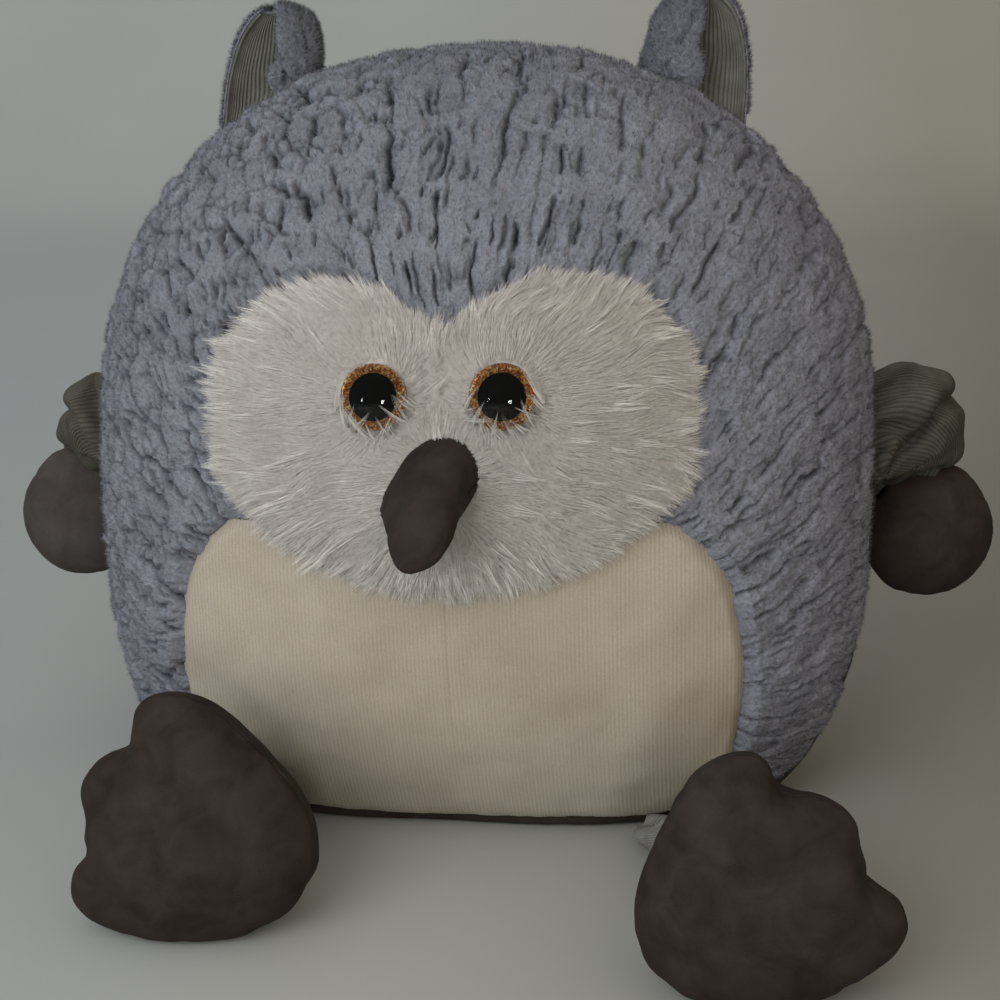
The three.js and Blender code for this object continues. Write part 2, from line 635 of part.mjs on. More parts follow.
for (const [side, sign] of Object.entries(sides)) {
  // Arm sleeve, drawn at +x and mirrored
  const mirror = new THREE.Matrix4().makeScale(sign, 1, 1);
  const to_place = torso_matrix.clone().multiply(mirror);
  const up_the_wrist = V(-Math.sin(wrist_tilt), 0, Math.cos(wrist_tilt));
  const wrist = hand_centre.clone().addScaledVector(up_the_wrist, wrist_above);
  const past_wrist = wrist.clone().lerp(hand_centre, wrist_overrun);
  const arm_points = [...sleeve_path.map((p) => V(...p)), past_wrist];
  const arm_sizes = [...sleeve_sizes, wrist_size];
  const arm_rings = ringsAlong(arm_points, arm_sizes, V(0, 0, 1), sleeve_turned, tube_steps);
  const mirrored = (body) => moved(body, to_place);
  const arm_outer = mirrored(tube(arm_rings, tube_columns, 0));
  const arm_inner = mirrored(tube(sleeveInside(arm_rings, sleeve_overrun), tube_columns, thin_cloth));
  const shoulder = V(sign * sleeve_path[0][0], sewn_y, sleeve_path[0][2]).applyMatrix4(torso_matrix);
  const shoulder_axis = V(0, 0, -sign).transformDirection(torso_matrix);
  const wrist_block = (up) => solid(new THREE.BoxGeometry(2 * reach, 2 * reach, reach)
    .translate(0, 0, up * (reach / 2) - part_gap * (up > 0 ? 1 : 0))
    .applyMatrix4(new THREE.Matrix4().makeRotationY(-sign * wrist_tilt)
      .setPosition(sign * wrist.x, wrist.y, wrist.z))
    .applyMatrix4(torso_matrix));
  const sleeve = clearOf(arm_outer.subtract(arm_inner), torso_room, shoulder, shoulder_axis,
    swing(shoulder_back, shoulder_front));
  add(`arm_${side}_sleeve`, sleeve.subtract(wrist_block(-1)), grey_cord);

  // Hand
  const hand_at = new THREE.Matrix4().makeTranslation(hand_centre.x, hand_centre.y, hand_centre.z);
  const hand_layer = (inset) => {
    const body = pillow({
      radius: () => hand_radius, front: hand_front, back: hand_back, inset,
      columns: limb_columns, rows: limb_rows,
    });
    return mirrored(moved(body, hand_at));
  };
  const wrist_point = wrist.clone().applyMatrix4(to_place);
  const wrist_axis = V(Math.cos(wrist_tilt), 0, sign * Math.sin(wrist_tilt))
    .transformDirection(torso_matrix);
  const above_wrist = wrist_block(1);
  const wrist_cuts = (body) => swing(-wrist_swing, wrist_swing)
    .reduce((b, angle) => b.subtract(moved(above_wrist, turnAbout(wrist_point, wrist_axis, angle))), body)
    .subtract(torso_room);
  const hand_frame = torso_matrix.clone()
    .multiply(new THREE.Matrix4().makeTranslation(sign * hand_centre.x, hand_centre.y, hand_centre.z));
  padded(`hand_${side}`, hand_layer(0), hand_layer(thin_cloth), hand_layer(thin_cloth + part_gap),
    halfSpace(-1, hand_frame), halfSpace(1, hand_frame), wrist_cuts, dark, ['front', 'back']);

  // Foot
  const turn = foot_turn[side];
  const turned_outline = foot_outline.map(([x, z]) => [
    foot_scale * sign * (x * Math.cos(turn) - z * Math.sin(turn)),
    foot_scale * (x * Math.sin(turn) + z * Math.cos(turn)),
  ]);
  const polar = turned_outline.map(([x, z]) => [Math.atan2(z, x), Math.hypot(x, z)])
    .sort((a, b) => a[0] - b[0]);
  const foot_radius = (angle) => {
    const a = angle > Math.PI ? angle - 2 * Math.PI : angle;
    const next = polar.findIndex(([b]) => b > a);
    const high = next < 0 ? polar[0] : polar[next];
    const low = polar[(next <= 0 ? polar.length : next) - 1];
    const span = (high[0] - low[0] + 2 * Math.PI) % (2 * Math.PI);
    const along = ((a - low[0] + 2 * Math.PI) % (2 * Math.PI)) / span;
    return low[1] + (high[1] - low[1]) * along;
  };
  const lowest = Math.min(...turned_outline.map(([, z]) => z));
  const foot_height = -lowest * Math.cos(foot_pitch) - foot_sink;
  const [foot_x, foot_y] = foot_place[side];
  const foot_matrix = new THREE.Matrix4().makeRotationX(-foot_pitch)
    .setPosition(foot_x, foot_y, foot_height);
  const foot_layer = (inset) => settled(moved(pillow({
    radius: foot_radius, front: foot_front, back: foot_back, inset,
    columns: foot_columns, rows: foot_rows,
  }), foot_matrix), inset);

  // Leg sleeve, from the bottom seam to the back of the foot
  const ankle = V(0, foot_back - ankle_inset, 0).applyMatrix4(foot_matrix);
  const root = V(sign * hip.x, hip.y, hip.z);
  const out = V(0, 1, 0).transformDirection(foot_matrix);
  const near_foot = ankle.clone().addScaledVector(out, ankle_lead);
  const leg_points = [
    root, root.clone().add(leg_leaves), root.clone().lerp(near_foot, leg_bend).add(leg_rise),
    near_foot, ankle,
  ];
  const leg_rings = ringsAlong(leg_points, [leg_root, leg_start, leg_middle, leg_end, leg_end],
    V(1, 0, 0), V(1, 0, 0), leg_steps);
  const leg_outer = tube(leg_rings, tube_columns, 0);
  const leg_inner = tube(sleeveInside(leg_rings, sleeve_overrun), tube_columns, thin_cloth);
  const foot_room = foot_layer(-part_gap);
  const across_axis = V(1, 0, 0);
  let leg = leg_outer.subtract(leg_inner);
  leg = clearOf(leg, torso_room, root, across_axis, swing(hip_up, hip_down));
  leg = clearOf(leg, foot_room, ankle, across_axis, swing(-ankle_swing, ankle_swing));
  add(`leg_${side}_sleeve`, leg, grey_cord);
  padded(`foot_${side}`, foot_layer(0), foot_layer(thin_cloth), foot_layer(thin_cloth + part_gap),
    halfSpace(-1, foot_matrix), halfSpace(1, foot_matrix), (body) => body.subtract(floor_block), dark,
    ['sole', 'upper']);
}

// The origin is on the floor cut, under the middle of the torso's flat seat
const seat_y = -seat_share * torso_below * Math.sin(torso_lean);
for (const mesh of group.children) mesh.geometry.translate(0, -seat_y, -floor_cut);

export default group;
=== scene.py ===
# Plush owl: the looks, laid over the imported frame. Metres, +Z up, the face towards -Y.
# Shapes are drawn in millimetres in the torso's own frame, which leans back, and then go to the row frame.
import math

import bpy
import numpy as np
from mathutils import Matrix, Vector
from mathutils.kdtree import KDTree

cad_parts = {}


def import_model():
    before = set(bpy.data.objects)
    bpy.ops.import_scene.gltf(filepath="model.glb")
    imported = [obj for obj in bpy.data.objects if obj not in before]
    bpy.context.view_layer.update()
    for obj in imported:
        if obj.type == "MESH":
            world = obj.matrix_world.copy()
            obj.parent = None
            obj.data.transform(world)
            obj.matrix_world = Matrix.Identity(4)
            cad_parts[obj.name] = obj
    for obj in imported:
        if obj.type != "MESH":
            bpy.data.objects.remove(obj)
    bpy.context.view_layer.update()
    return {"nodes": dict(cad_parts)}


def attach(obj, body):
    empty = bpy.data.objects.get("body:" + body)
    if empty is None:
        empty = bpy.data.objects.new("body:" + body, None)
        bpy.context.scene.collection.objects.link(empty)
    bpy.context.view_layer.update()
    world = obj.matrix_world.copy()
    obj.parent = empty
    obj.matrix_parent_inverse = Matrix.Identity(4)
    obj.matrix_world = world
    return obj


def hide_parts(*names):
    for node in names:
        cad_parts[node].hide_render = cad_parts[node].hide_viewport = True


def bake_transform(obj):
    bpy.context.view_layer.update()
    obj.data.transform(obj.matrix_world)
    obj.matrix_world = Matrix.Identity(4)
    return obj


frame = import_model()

MM = 0.001
TURN = 2 * math.pi
SIDES = (("left", 1), ("right", -1))

# Torso, as in the solids, apart from the side seam's line and the small insets
HALF_WIDTH = 178
ABOVE, BELOW = 181, 185
FRONT, BACK = 100, 84
TOP_POWER, BOTTOM_POWER, BLEND_RATE = 2.25, 3.2, 2.5
SWELL, RIM = 2.3, 1.2
LEAN = math.radians(13)
SEAT_Y, SEAT_Z = 31.21, 153.83
SETTLE = 2
SIDE_SEAM = [[-260, -45], [-166, -45], [-157, -29], [-140, -15], [-110, -9], [-60, -6], [0, -5], [260, -5]]
FACE_HALF = [
    [0, 54], [20, 68], [47, 75.5], [70, 71], [87, 60.5], [100, 41],
    [101.5, 18], [96.5, -13], [62, -41.5], [30, -52], [0, -56.5],
]
BELLY_HALF = [
    [0, -15], [60, -15], [92, -25], [108, -38], [118, -54],
    [124, -87], [122.5, -115], [118, -146], [113, -260], [0, -260],
]
SEWN_Y = -3.2
EYE = (26, 25.5)
BEAK_Z, BEAK_WIDE, BEAK_HIGH, BEAK_LONG, BEAK_HOOK = -17.5, 19.5, 25, 37, 17
BEAK_SKEW, BEAK_ASIDE = 0.3, 4.2
BELLY_INSET, BACK_INSET, BACK_TUCK = 2, 1.5, 4.0
TORSO_MIDDLE = (0, 31, 154)
ABOVE_FLOOR = 0.3
random = np.random.default_rng(7)


# Small maths helpers
def smooth(low, high, value):
    t = np.clip((value - low) / (high - low), 0, 1)
    return t * t * (3 - 2 * t)


def unit(v):
    return v / np.maximum(np.linalg.norm(v, axis=-1, keepdims=True), 1e-9)


def turns(count):
    """Evenly spaced angles round a full turn."""
    return TURN * np.arange(count) / count


def circle(angle):
    """Places on a circle, for noise that closes up round a rim."""
    return np.stack([np.cos(angle), np.sin(angle), 0 * angle], -1)


def to_row(p):
    """From the torso's own frame to the row frame, in millimetres."""
    c, s = math.cos(LEAN), math.sin(LEAN)
    y = p[..., 1] * c + p[..., 2] * s + SEAT_Y
    z = -p[..., 1] * s + p[..., 2] * c + SEAT_Z
    return np.stack([p[..., 0], y, z], -1)


def turned_to_row(v):
    return to_row(v) - to_row(np.zeros(3))


def settled(p, level):
    """Presses what is below a level up to it, with a soft bend."""
    out = p.copy()
    t = np.clip((p[..., 2] - level) / SETTLE, -60, 60)
    bent = level + SETTLE * np.log1p(np.exp(t))
    out[..., 2] = np.where(t > 30, p[..., 2], bent)
    return out


def lifted(grid, n, lift):
    """A grid moved along its normals, in the row frame and clear of the floor."""
    return settled(to_row(grid + n * lift[..., None]), ABOVE_FLOOR)


GRADIENTS = unit(np.random.default_rng(3).normal(size=(64, 3)))


def hashed(cell, seed):
    """A whole number below 2**32 that looks random, for each cell of a grid in space."""
    h = (cell[:, 0] * 374761393 + cell[:, 1] * 668265263 + cell[:, 2] * 1442695041 + seed * 97) & 0xFFFFFFFF
    h = ((h ^ (h >> 13)) * 1274126177) & 0xFFFFFFFF
    return h ^ (h >> 16)


def noise(p, size, seed):
    """Smooth gradient noise, from about -1 to 1, with features of a size in millimetres."""
    q = p.reshape(-1, 3) / size + seed * 17.31
    cell = np.floor(q).astype(np.int64)
    f = q - cell
    s = f * f * f * (f * (f * 6 - 15) + 10)
    total = np.zeros(len(q))
    for corner in np.ndindex(2, 2, 2):
        g = GRADIENTS[hashed(cell + corner, seed) & 63]
        w = np.prod(np.where(corner, s, 1 - s), axis=1)
        total += w * np.einsum("ij,ij->i", g, f - corner)
    return (total * 1.7).reshape(p.shape[:-1])


def noises(p, size, seed):
    """Three noises side by side, as vectors."""
    return np.stack([noise(p, size, seed + k) for k in range(3)], -1)


def tufts(p, size, seed):
    """For each point: how far its tuft's border is, its tuft's soft value, and the way across the border."""
    q = p.reshape(-1, 3) / size + seed * 13.7
    cell = np.floor(q).astype(np.int64)
    nearest, second = np.full(len(q), 9.0), np.full(len(q), 9.0)
    own, other = np.zeros(q.shape), np.zeros(q.shape)
    value, weight = np.zeros(len(q)), np.full(len(q), 1e-12)
    for step in np.ndindex(3, 3, 3):
        at = cell + step - 1
        h = hashed(at, seed)
        middle = at + np.stack([(h >> k) & 1023 for k in (0, 10, 20)], -1) / 1023
        far = np.linalg.norm(q - middle, axis=1)
        closest = far < nearest
        runner_up = ~closest & (far < second)
        other = np.where(closest[:, None], own, np.where(runner_up[:, None], middle, other))
        own = np.where(closest[:, None], middle, own)
        second = np.minimum(second, np.maximum(far, nearest))
        nearest = np.minimum(nearest, far)
        w = np.exp(-11 * far)
        value += w * ((h >> 7) & 255) / 255
        weight += w
    border = (second - nearest) * size / 2
    shape = p.shape[:-1]
    return border.reshape(shape), (value / weight).reshape(shape), unit(other - own).reshape(p.shape)


# Torso surface
def outline_radius(angle):
    s = np.sin(angle)
    top = 0.5 + 0.5 * np.tanh(BLEND_RATE * s)
    power = BOTTOM_POWER + (TOP_POWER - BOTTOM_POWER) * top
    high = BELOW + (ABOVE - BELOW) * top
    return (np.abs(np.cos(angle) / HALF_WIDTH) ** power + np.abs(s / high) ** power) ** (-1 / power)


def torso_point(angle, phi, inset):
    """phi runs from 0 in the middle of the front, over the rim, to pi in the middle of the back."""
    angle, phi = np.broadcast_arrays(angle, phi)
    share = np.abs(np.sin(phi)) ** (2 / SWELL)
    c = np.cos(phi)
    depth = np.where(c > 0, -(FRONT - inset), BACK - inset) * np.abs(c) ** RIM
    r = share * (outline_radius(angle) - inset)
    return np.stack([r * np.cos(angle), depth, r * np.sin(angle)], -1)


def front_depth(x, z, inset):
    share = np.hypot(x, z) / (outline_radius(np.arctan2(z, x)) - inset)
    return (FRONT - inset) * np.maximum(1 - share ** SWELL, 0) ** (RIM / 2)


def seam_depth(z):
    table = np.array(SIDE_SEAM, float)
    return np.interp(z, table[:, 0], table[:, 1])


def run_of(points):
    """How far along a line of points each point is."""
    return np.concatenate([[0], np.cumsum(np.linalg.norm(np.diff(points, axis=0), axis=1))])


PHIS = np.linspace(0, math.pi, 1601)
ARCS = run_of(torso_point(np.full(len(PHIS), 0.0), PHIS, 0))


def seam_phi(angle, inset):
    """Where the side seam crosses each direction from the torso's middle."""
    phis = np.linspace(0.6, math.pi / 2 + 0.2, 400)
    p = torso_point(angle[None, :], phis[:, None], inset)
    past = p[..., 1] - seam_depth(p[..., 2])
    k = np.argmax(past > 0, axis=0)
    cols = np.arange(len(angle))
    a, b = past[k - 1, cols], past[k, cols]
    return phis[k - 1] + (phis[k] - phis[k - 1]) * (-a) / (b - a)


def band(angle, phi_from, phi_to, rows, inset):
    """A grid of the torso between two lines, its rows evenly spaced along the cloth.

    It comes back with how far each point is from the second line.
    """
    start, end = np.interp(phi_from, PHIS, ARCS), np.interp(phi_to, PHIS, ARCS)
    t = np.linspace(0, 1, rows)[:, None]
    arc = start + (end - start) * t
    phi = np.interp(arc, ARCS, PHIS)
    return torso_point(np.broadcast_to(angle, phi.shape), phi, inset), end - arc


def between(a, b, c, d, t):
    """A smooth curve from b to c, led by a before it and d after it."""
    return 0.5 * (2 * b + (c - a) * t + (2 * a - 5 * b + 4 * c - d) * t ** 2
                  + (3 * b - a - 3 * c + d) * t ** 3)


def catmull(points, samples, closed):
    """Evenly spaced points on a smooth curve through some points."""
    p = np.array(points, float)
    n = len(p)
    spans = n if closed else n - 1
    at = (lambda k: p[k % n]) if closed else (lambda k: p[min(max(k, 0), n - 1)])
    dense = []
    for k in range(spans):
        near = [at(k + step) for step in (-1, 0, 1, 2)]
        dense += [between(*near, t) for t in np.linspace(0, 1, 40, endpoint=False)]
    dense.append(p[0] if closed else p[-1])
    dense = np.array(dense)
    along = run_of(dense)
    wanted = np.linspace(0, along[-1], samples, endpoint=not closed)
    return np.stack([np.interp(wanted, along, dense[:, i]) for i in range(p.shape[1])], -1)


def upright(x, z):
    """Vectors that lie across the torso's front, from their two parts."""
    return np.stack([x, 0 * x, z], -1)


def both_halves(half):
    return half + [[-x, z] for x, z in half[-2:0:-1]]


class Outline:
    """A closed outline on the torso's front, with the signed distance from it: outside is positive."""

    def __init__(self, half):
        self.points = catmull(both_halves(half), 240, True)
        self.low = np.array([-200.0, -270.0])
        x, z = np.meshgrid(*(np.arange(low, 201) for low in self.low), indexing="ij")
        best = np.full(x.shape, 1e9)
        inside = np.zeros(x.shape, bool)
        a = self.points
        b = np.roll(a, -1, axis=0)
        for (ax, az), (bx, bz) in zip(a, b):
            ex, ez = bx - ax, bz - az
            t = np.clip(((x - ax) * ex + (z - az) * ez) / (ex * ex + ez * ez), 0, 1)
            best = np.minimum(best, np.hypot(x - ax - t * ex, z - az - t * ez))
            if az != bz:
                crosses = (az > z) != (bz > z)
                inside ^= crosses & (x < ax + (z - az) * ex / (bz - az))
        self.map = np.where(inside, -best, best)

    def distance(self, x, z):
        u = np.clip(x - self.low[0], 0, self.map.shape[0] - 2)
        v = np.clip(z - self.low[1], 0, self.map.shape[1] - 2)
        i, j = u.astype(int), v.astype(int)
        fu, fv = u - i, v - j
        m = self.map
        return ((m[i, j] * (1 - fu) + m[i + 1, j] * fu) * (1 - fv)
                + (m[i, j + 1] * (1 - fu) + m[i + 1, j + 1] * fu) * fv)


face_line = Outline(FACE_HALF)
belly_line = Outline(BELLY_HALF)


# Mesh building
def normals_of(grid, wrap):
    """Unit normals of a grid of points, by differences."""
    if wrap:
        along = np.roll(grid, -1, axis=1) - np.roll(grid, 1, axis=1)
    else:
        along = np.gradient(grid, axis=1)
    return unit(np.cross(np.gradient(grid, axis=0), along))


def outward(grid, wrap, centre):
    """Unit normals of a grid, turned away from a point on the whole."""
    n = normals_of(grid, wrap)
    away = np.einsum("ijk,ijk->ij", n, grid - np.asarray(centre, float)).mean()
    return n if away > 0 else -n


def placed(name, data):
    ob = bpy.data.objects.new(name, data)
    bpy.context.scene.collection.objects.link(ob)
    return ob


def make(name, points, faces, look, uvs, height=None):
    """A mesh object from points in millimetres in the row frame, faces, and each corner's place on a map."""
    faces = np.asarray(faces, np.int64)
    width = faces.shape[1]
    used = np.unique(faces)
    place = np.zeros(len(points), np.int64)
    place[used] = np.arange(len(used))
    corners = place[faces]
    mesh = bpy.data.meshes.new(name)
    mesh.vertices.add(len(used))
    mesh.vertices.foreach_set("co", (points[used] * MM).astype(np.float32).ravel())
    mesh.loops.add(corners.size)
    mesh.loops.foreach_set("vertex_index", corners.astype(np.int32).ravel())
    mesh.polygons.add(len(corners))
    mesh.polygons.foreach_set("loop_start", (np.arange(len(corners)) * width).astype(np.int32))
    mesh.update(calc_edges=True)
    mesh.validate()
    layer = mesh.uv_layers.new(name="OFBake")
    layer.uv.foreach_set("vector", np.asarray(uvs, np.float32).ravel())
    if height is not None:
        layer = mesh.attributes.new("pile_height", "FLOAT", "POINT")
        layer.data.foreach_set("value", height.ravel()[used].astype(np.float32))
    mesh.shade_smooth()
    mesh.materials.append(look)
    return placed(name, mesh)


def grid_faces(rows, cols, wrap):
    j, i = np.meshgrid(np.arange(rows - 1), np.arange(cols if wrap else cols - 1), indexing="ij")
    n = (i + 1) % cols
    faces = np.stack([j * cols + i, j * cols + n, (j + 1) * cols + n, (j + 1) * cols + i], -1).reshape(-1, 4)
    span = cols if wrap else cols - 1
    u = np.stack([i, i + 1, i + 1, i], -1) / span
    v = np.stack([j, j, j + 1, j + 1], -1) / (rows - 1)
    return faces, np.stack([u, v], -1).reshape(-1, 4, 2)


def facing(points, faces, outwards):
    """Whether the faces' own side agrees with the outward direction at their first corners."""
    a, b, c = points[faces[:, 0]], points[faces[:, 1]], points[faces[:, 2]]
    own = np.cross(b - a, c - a)
    return float((own * outwards[faces[:, 0]]).sum()) > 0


def grid_piece(name, grid, wrap, look, keep=None, centre=TORSO_MIDDLE, height=None):
    """A piece over a grid of points in the row frame; keep says which of its points are wanted."""
    rows, cols = grid.shape[:2]
    faces, uvs = grid_faces(rows, cols, wrap)
    if keep is not None:
        whole = keep.ravel()[faces].all(axis=1)
        faces, uvs = faces[whole], uvs[whole]
    points = grid.reshape(-1, 3)
    away = outward(grid, wrap, centre).reshape(-1, 3)
    if not facing(points, faces, away):
        faces, uvs = faces[:, ::-1], uvs[:, ::-1]
    return make(name, points, faces, look, uvs, height)


def blades(name, roots, headings, lengths, widths, look, surface, bend=None, steps=1, scatter=0.25,
           tilt=0.0):
    """Thin tapering blades of pile, lying flat to the surface's normals and shaded with them."""
    count = len(roots)
    ahead = unit(headings)
    sides = np.cross(ahead, surface)
    sides = unit(sides + scatter * random.normal(size=(count, 3)))
    agree = (np.cross(ahead, sides) * surface).sum(1)
    sides *= np.where(agree > 0, 1, -1)[:, None]
    rows = []
    for k in range(steps + 1):
        t = k / steps
        centre = roots + ahead * (lengths * t)[:, None]
        if bend is not None:
            centre = centre + bend * t * t
        half = (widths * (1 - t) / 2)[:, None]
        rows += [centre + sides * half, centre - sides * half] if k < steps else [centre]
    points = np.stack(rows, 1)
    per = points.shape[1]
    local = []
    for k in range(steps - 1):
        local += [[2 * k, 2 * k + 1, 2 * k + 3], [2 * k, 2 * k + 3, 2 * k + 2]]
    local.append([2 * steps - 2, 2 * steps - 1, 2 * steps])
    faces = (np.arange(count)[:, None, None] * per + np.array(local)[None]).reshape(-1, 3)
    side = int(math.ceil(math.sqrt(count)))
    cell = np.stack([np.arange(count) % side, np.arange(count) // side], -1) / side
    rise = np.array([0.1 + 0.8 * (k // 2) / steps for k in range(per)])
    across = np.array([0.5 if k == per - 1 else 0.85 if k % 2 else 0.15 for k in range(per)])
    spot = cell[:, None, :] + np.stack([across, rise], -1)[None] / side
    ob = make(name, points.reshape(-1, 3), faces, look, spot.reshape(-1, 2)[faces])
    turned = unit(surface + tilt * random.normal(size=(count, 3)))
    ob.data.normals_split_custom_set_from_vertices(np.repeat(turned, per, axis=0).tolist())
    return ob


def hairs(name, roots, heading, width, look, n, bend=None, length=None, **how):
    """Blades that are given in the torso's own frame, as long as their headings if no length is given."""
    if bend is not None:
        how["bend"] = turned_to_row(bend)
    if length is None:
        length = np.linalg.norm(heading, axis=1)
    return blades(name, to_row(roots), turned_to_row(heading), length, np.full(len(roots), width), look,
                  turned_to_row(n), **how)


# Cloth
def finer(grid, rows, cols, wrap):
    """A grid of points drawn finer, on smooth curves both ways."""
    def drawn(values, count, closed):
        n = len(values)
        at = np.arange(count) * n / count if closed else np.linspace(0, n - 1, count)
        low = np.floor(at).astype(int)
        low = low if closed else np.minimum(low, n - 2)
        f = (at - low)[:, None, None]
        near = [(low + k) % n if closed else np.clip(low + k, 0, n - 1) for k in (-1, 0, 1, 2)]
        return between(*(values[k] for k in near), f)

    tall = drawn(grid, rows, False)
    return drawn(tall.swapaxes(0, 1), cols, wrap).swapaxes(0, 1)


CLOTH_SCALE, CLOTH_STIFFNESS = 0.01, 15.0


def stuffed(grid, pinned, spare, pressure, cap, bend, frames=24):
    """Blows a closed-round grid of cloth up while some of its rows hold still.

    spare is the extra cloth in it, and cap is about the furthest that a point may move.
    """
    rows, cols = grid.shape[:2]
    faces, _ = grid_faces(rows, cols, True)
    away = outward(grid, True, grid.reshape(-1, 3).mean(axis=0)).reshape(-1, 3)
    if not facing(grid.reshape(-1, 3), faces, away):
        faces = faces[:, ::-1]
    mesh = bpy.data.meshes.new("cloth")
    mesh.from_pydata((grid.reshape(-1, 3) * CLOTH_SCALE).tolist(), [], faces.tolist())
    ob = placed("cloth", mesh)
    group = ob.vertex_groups.new(name="held")
    index = np.arange(rows * cols).reshape(rows, cols)
    group.add(index[np.asarray(pinned)].ravel().tolist(), 1.0, "REPLACE")
    cloth = ob.modifiers.new("cloth", "CLOTH")
    how = cloth.settings
    how.quality = 6
    how.mass = 0.3
    how.tension_stiffness = CLOTH_STIFFNESS
    how.compression_stiffness = CLOTH_STIFFNESS
    how.shear_stiffness = CLOTH_STIFFNESS / 3
    how.bending_stiffness = bend
    how.use_pressure = True
    how.uniform_pressure_force = pressure
    how.shrink_min = -spare
    how.vertex_group_mass = "held"
    how.effector_weights.gravity = 0
    cloth.point_cache.frame_start = 1
    cloth.point_cache.frame_end = frames
    for frame_number in range(1, frames + 1):
        bpy.context.scene.frame_set(frame_number)
    after = ob.evaluated_get(bpy.context.evaluated_depsgraph_get()).data
    points = np.empty(rows * cols * 3, np.float32)
    after.vertices.foreach_get("co", points)
    bpy.data.objects.remove(ob)
    bpy.data.meshes.remove(mesh)
    bpy.context.scene.frame_set(1)
    moved = points.reshape(grid.shape) / CLOTH_SCALE - grid
    far = np.linalg.norm(moved, axis=-1, keepdims=True)
    return grid + moved * np.minimum(1, cap * np.tanh(far / cap) / np.maximum(far, 1e-6))


# Materials
def material(name):
    m = bpy.data.materials.new(name)
    m.use_nodes = True
    return m, m.node_tree, m.node_tree.nodes["Principled BSDF"]


def feed(tree, socket, value):
    """Gives an input its value, or links it to another node's output."""
    if isinstance(value, bpy.types.NodeSocket):
        tree.links.new(value, socket)
    else:
        socket.default_value = value


def fill_in(tree, node, **inputs):
    for key, value in inputs.items():
        feed(tree, node.inputs[key.replace("_", " ")], value)
    return node


def set_up(tree, kind, **inputs):
    return fill_in(tree, tree.nodes.new(kind), **inputs)


def object_place(tree):
    return tree.nodes.new("ShaderNodeTexCoord").outputs["Object"]


def noise_node(tree, where, size_mm, detail=3.0, rough=0.55, twist=0.0):
    return set_up(tree, "ShaderNodeTexNoise", Vector=where, Scale=1 / (size_mm * MM), Detail=detail,
                  Roughness=rough, Distortion=twist).outputs["Fac"]


def ramp(tree, value, stops):
    n = tree.nodes.new("ShaderNodeValToRGB")
    tree.links.new(value, n.inputs["Fac"])
    spots = n.color_ramp.elements
    while len(spots) < len(stops):
        spots.new(0.5)
    for spot, (place, colour) in zip(spots, stops):
        spot.position = place
        spot.color = (*colour, 1)
    return n.outputs["Color"]


def mixed(tree, a, b, share, blend="MIX"):
    n = tree.nodes.new("ShaderNodeMix")
    n.data_type = "RGBA"
    n.blend_type = blend
    for place, value in ((0, share), (6, a), (7, b)):
        feed(tree, n.inputs[place], value)
    return n.outputs[2]


def multiplied(tree, a, b):
    return mixed(tree, a, b, 1.0, "MULTIPLY")


def bumped(tree, shader, height, distance_mm):
    b = set_up(tree, "ShaderNodeBump", Strength=1.0, Distance=distance_mm * MM, Height=height)
    tree.links.new(b.outputs["Normal"], shader.inputs["Normal"])


def cloth(name, dark, light, patch, grain, bump, sheen=0.3, rough=0.9, twist=0.0, deep_painted_shade=None, each=0):
    """Fabric whose colour wanders between two, with a fine grain.

    deep_painted_shade is what its colour is multiplied by deep in the pile and in the ribs' grooves, as
    painted shade, and each is how much darker a blade may be.
    """
    m, tree, shader = material(name)
    where = object_place(tree)
    broad = noise_node(tree, where, patch, 3.0, 0.6, twist)
    fine = noise_node(tree, where, grain, 2.0)
    colour = ramp(tree, broad, [(0.3, dark), (0.7, light)])
    # Painted shade: darker where the pile_height attribute is low, in the pile's cracks and the ribs'
    # grooves
    if deep_painted_shade is not None:
        depth = tree.nodes.new("ShaderNodeAttribute")
        depth.attribute_name = "pile_height"
        shade = ramp(tree, depth.outputs["Fac"], [(0.25, deep_painted_shade), (0.85, (1, 1, 1))])
        colour = multiplied(tree, colour, shade)
    speck = ramp(tree, fine, [(0.3, (0.84, 0.84, 0.84)), (0.62, (1, 1, 1))])
    colour = multiplied(tree, colour, speck)
    if each:
        own = tree.nodes.new("ShaderNodeNewGeometry").outputs["Random Per Island"]
        colour = multiplied(tree, colour, ramp(tree, own, [(0.0, (1 - each,) * 3), (1.0, (1, 1, 1))]))
    fill_in(tree, shader, Base_Color=colour, Roughness=rough, Sheen_Weight=sheen, Sheen_Roughness=0.4,
            Sheen_Tint=(*light, 1), Specular_IOR_Level=0.15)
    bumped(tree, shader, fine, bump)
    return m


lavender = cloth("lavender_pile", (0.170, 0.177, 0.209), (0.228, 0.237, 0.277), 26, 1.1, 0.6, 0.15,
                 deep_painted_shade=(0.22, 0.22, 0.235))
lavender_tip = cloth("lavender_pile_tips", (0.19, 0.197, 0.229), (0.255, 0.264, 0.303), 18, 2.0, 0.1, 0.15,
                     each=0.5)
white = cloth("white_pile", (0.465, 0.442, 0.402), (0.545, 0.522, 0.482), 20, 1.0, 0.3, 0.2)
white_tip = cloth("white_pile_hairs", (0.465, 0.442, 0.405), (0.54, 0.517, 0.479), 14, 2.0, 0.1, 0.2, 0.7,
                  each=0.1)
# A lighter copy of the white hair for the bright locks: painted highlight, standing in for hair that catches
# the light
white_painted_shine = cloth("white_pile_locks_painted_shine", (0.56, 0.54, 0.5), (0.68, 0.66, 0.62), 14, 2.0, 0.1, 0.2, 0.6,
                    each=0.2)
cream = cloth("cream_corduroy", (0.335, 0.297, 0.239), (0.388, 0.35, 0.288), 45, 0.6, 0.15, 0.2,
              deep_painted_shade=(0.86, 0.85, 0.84))
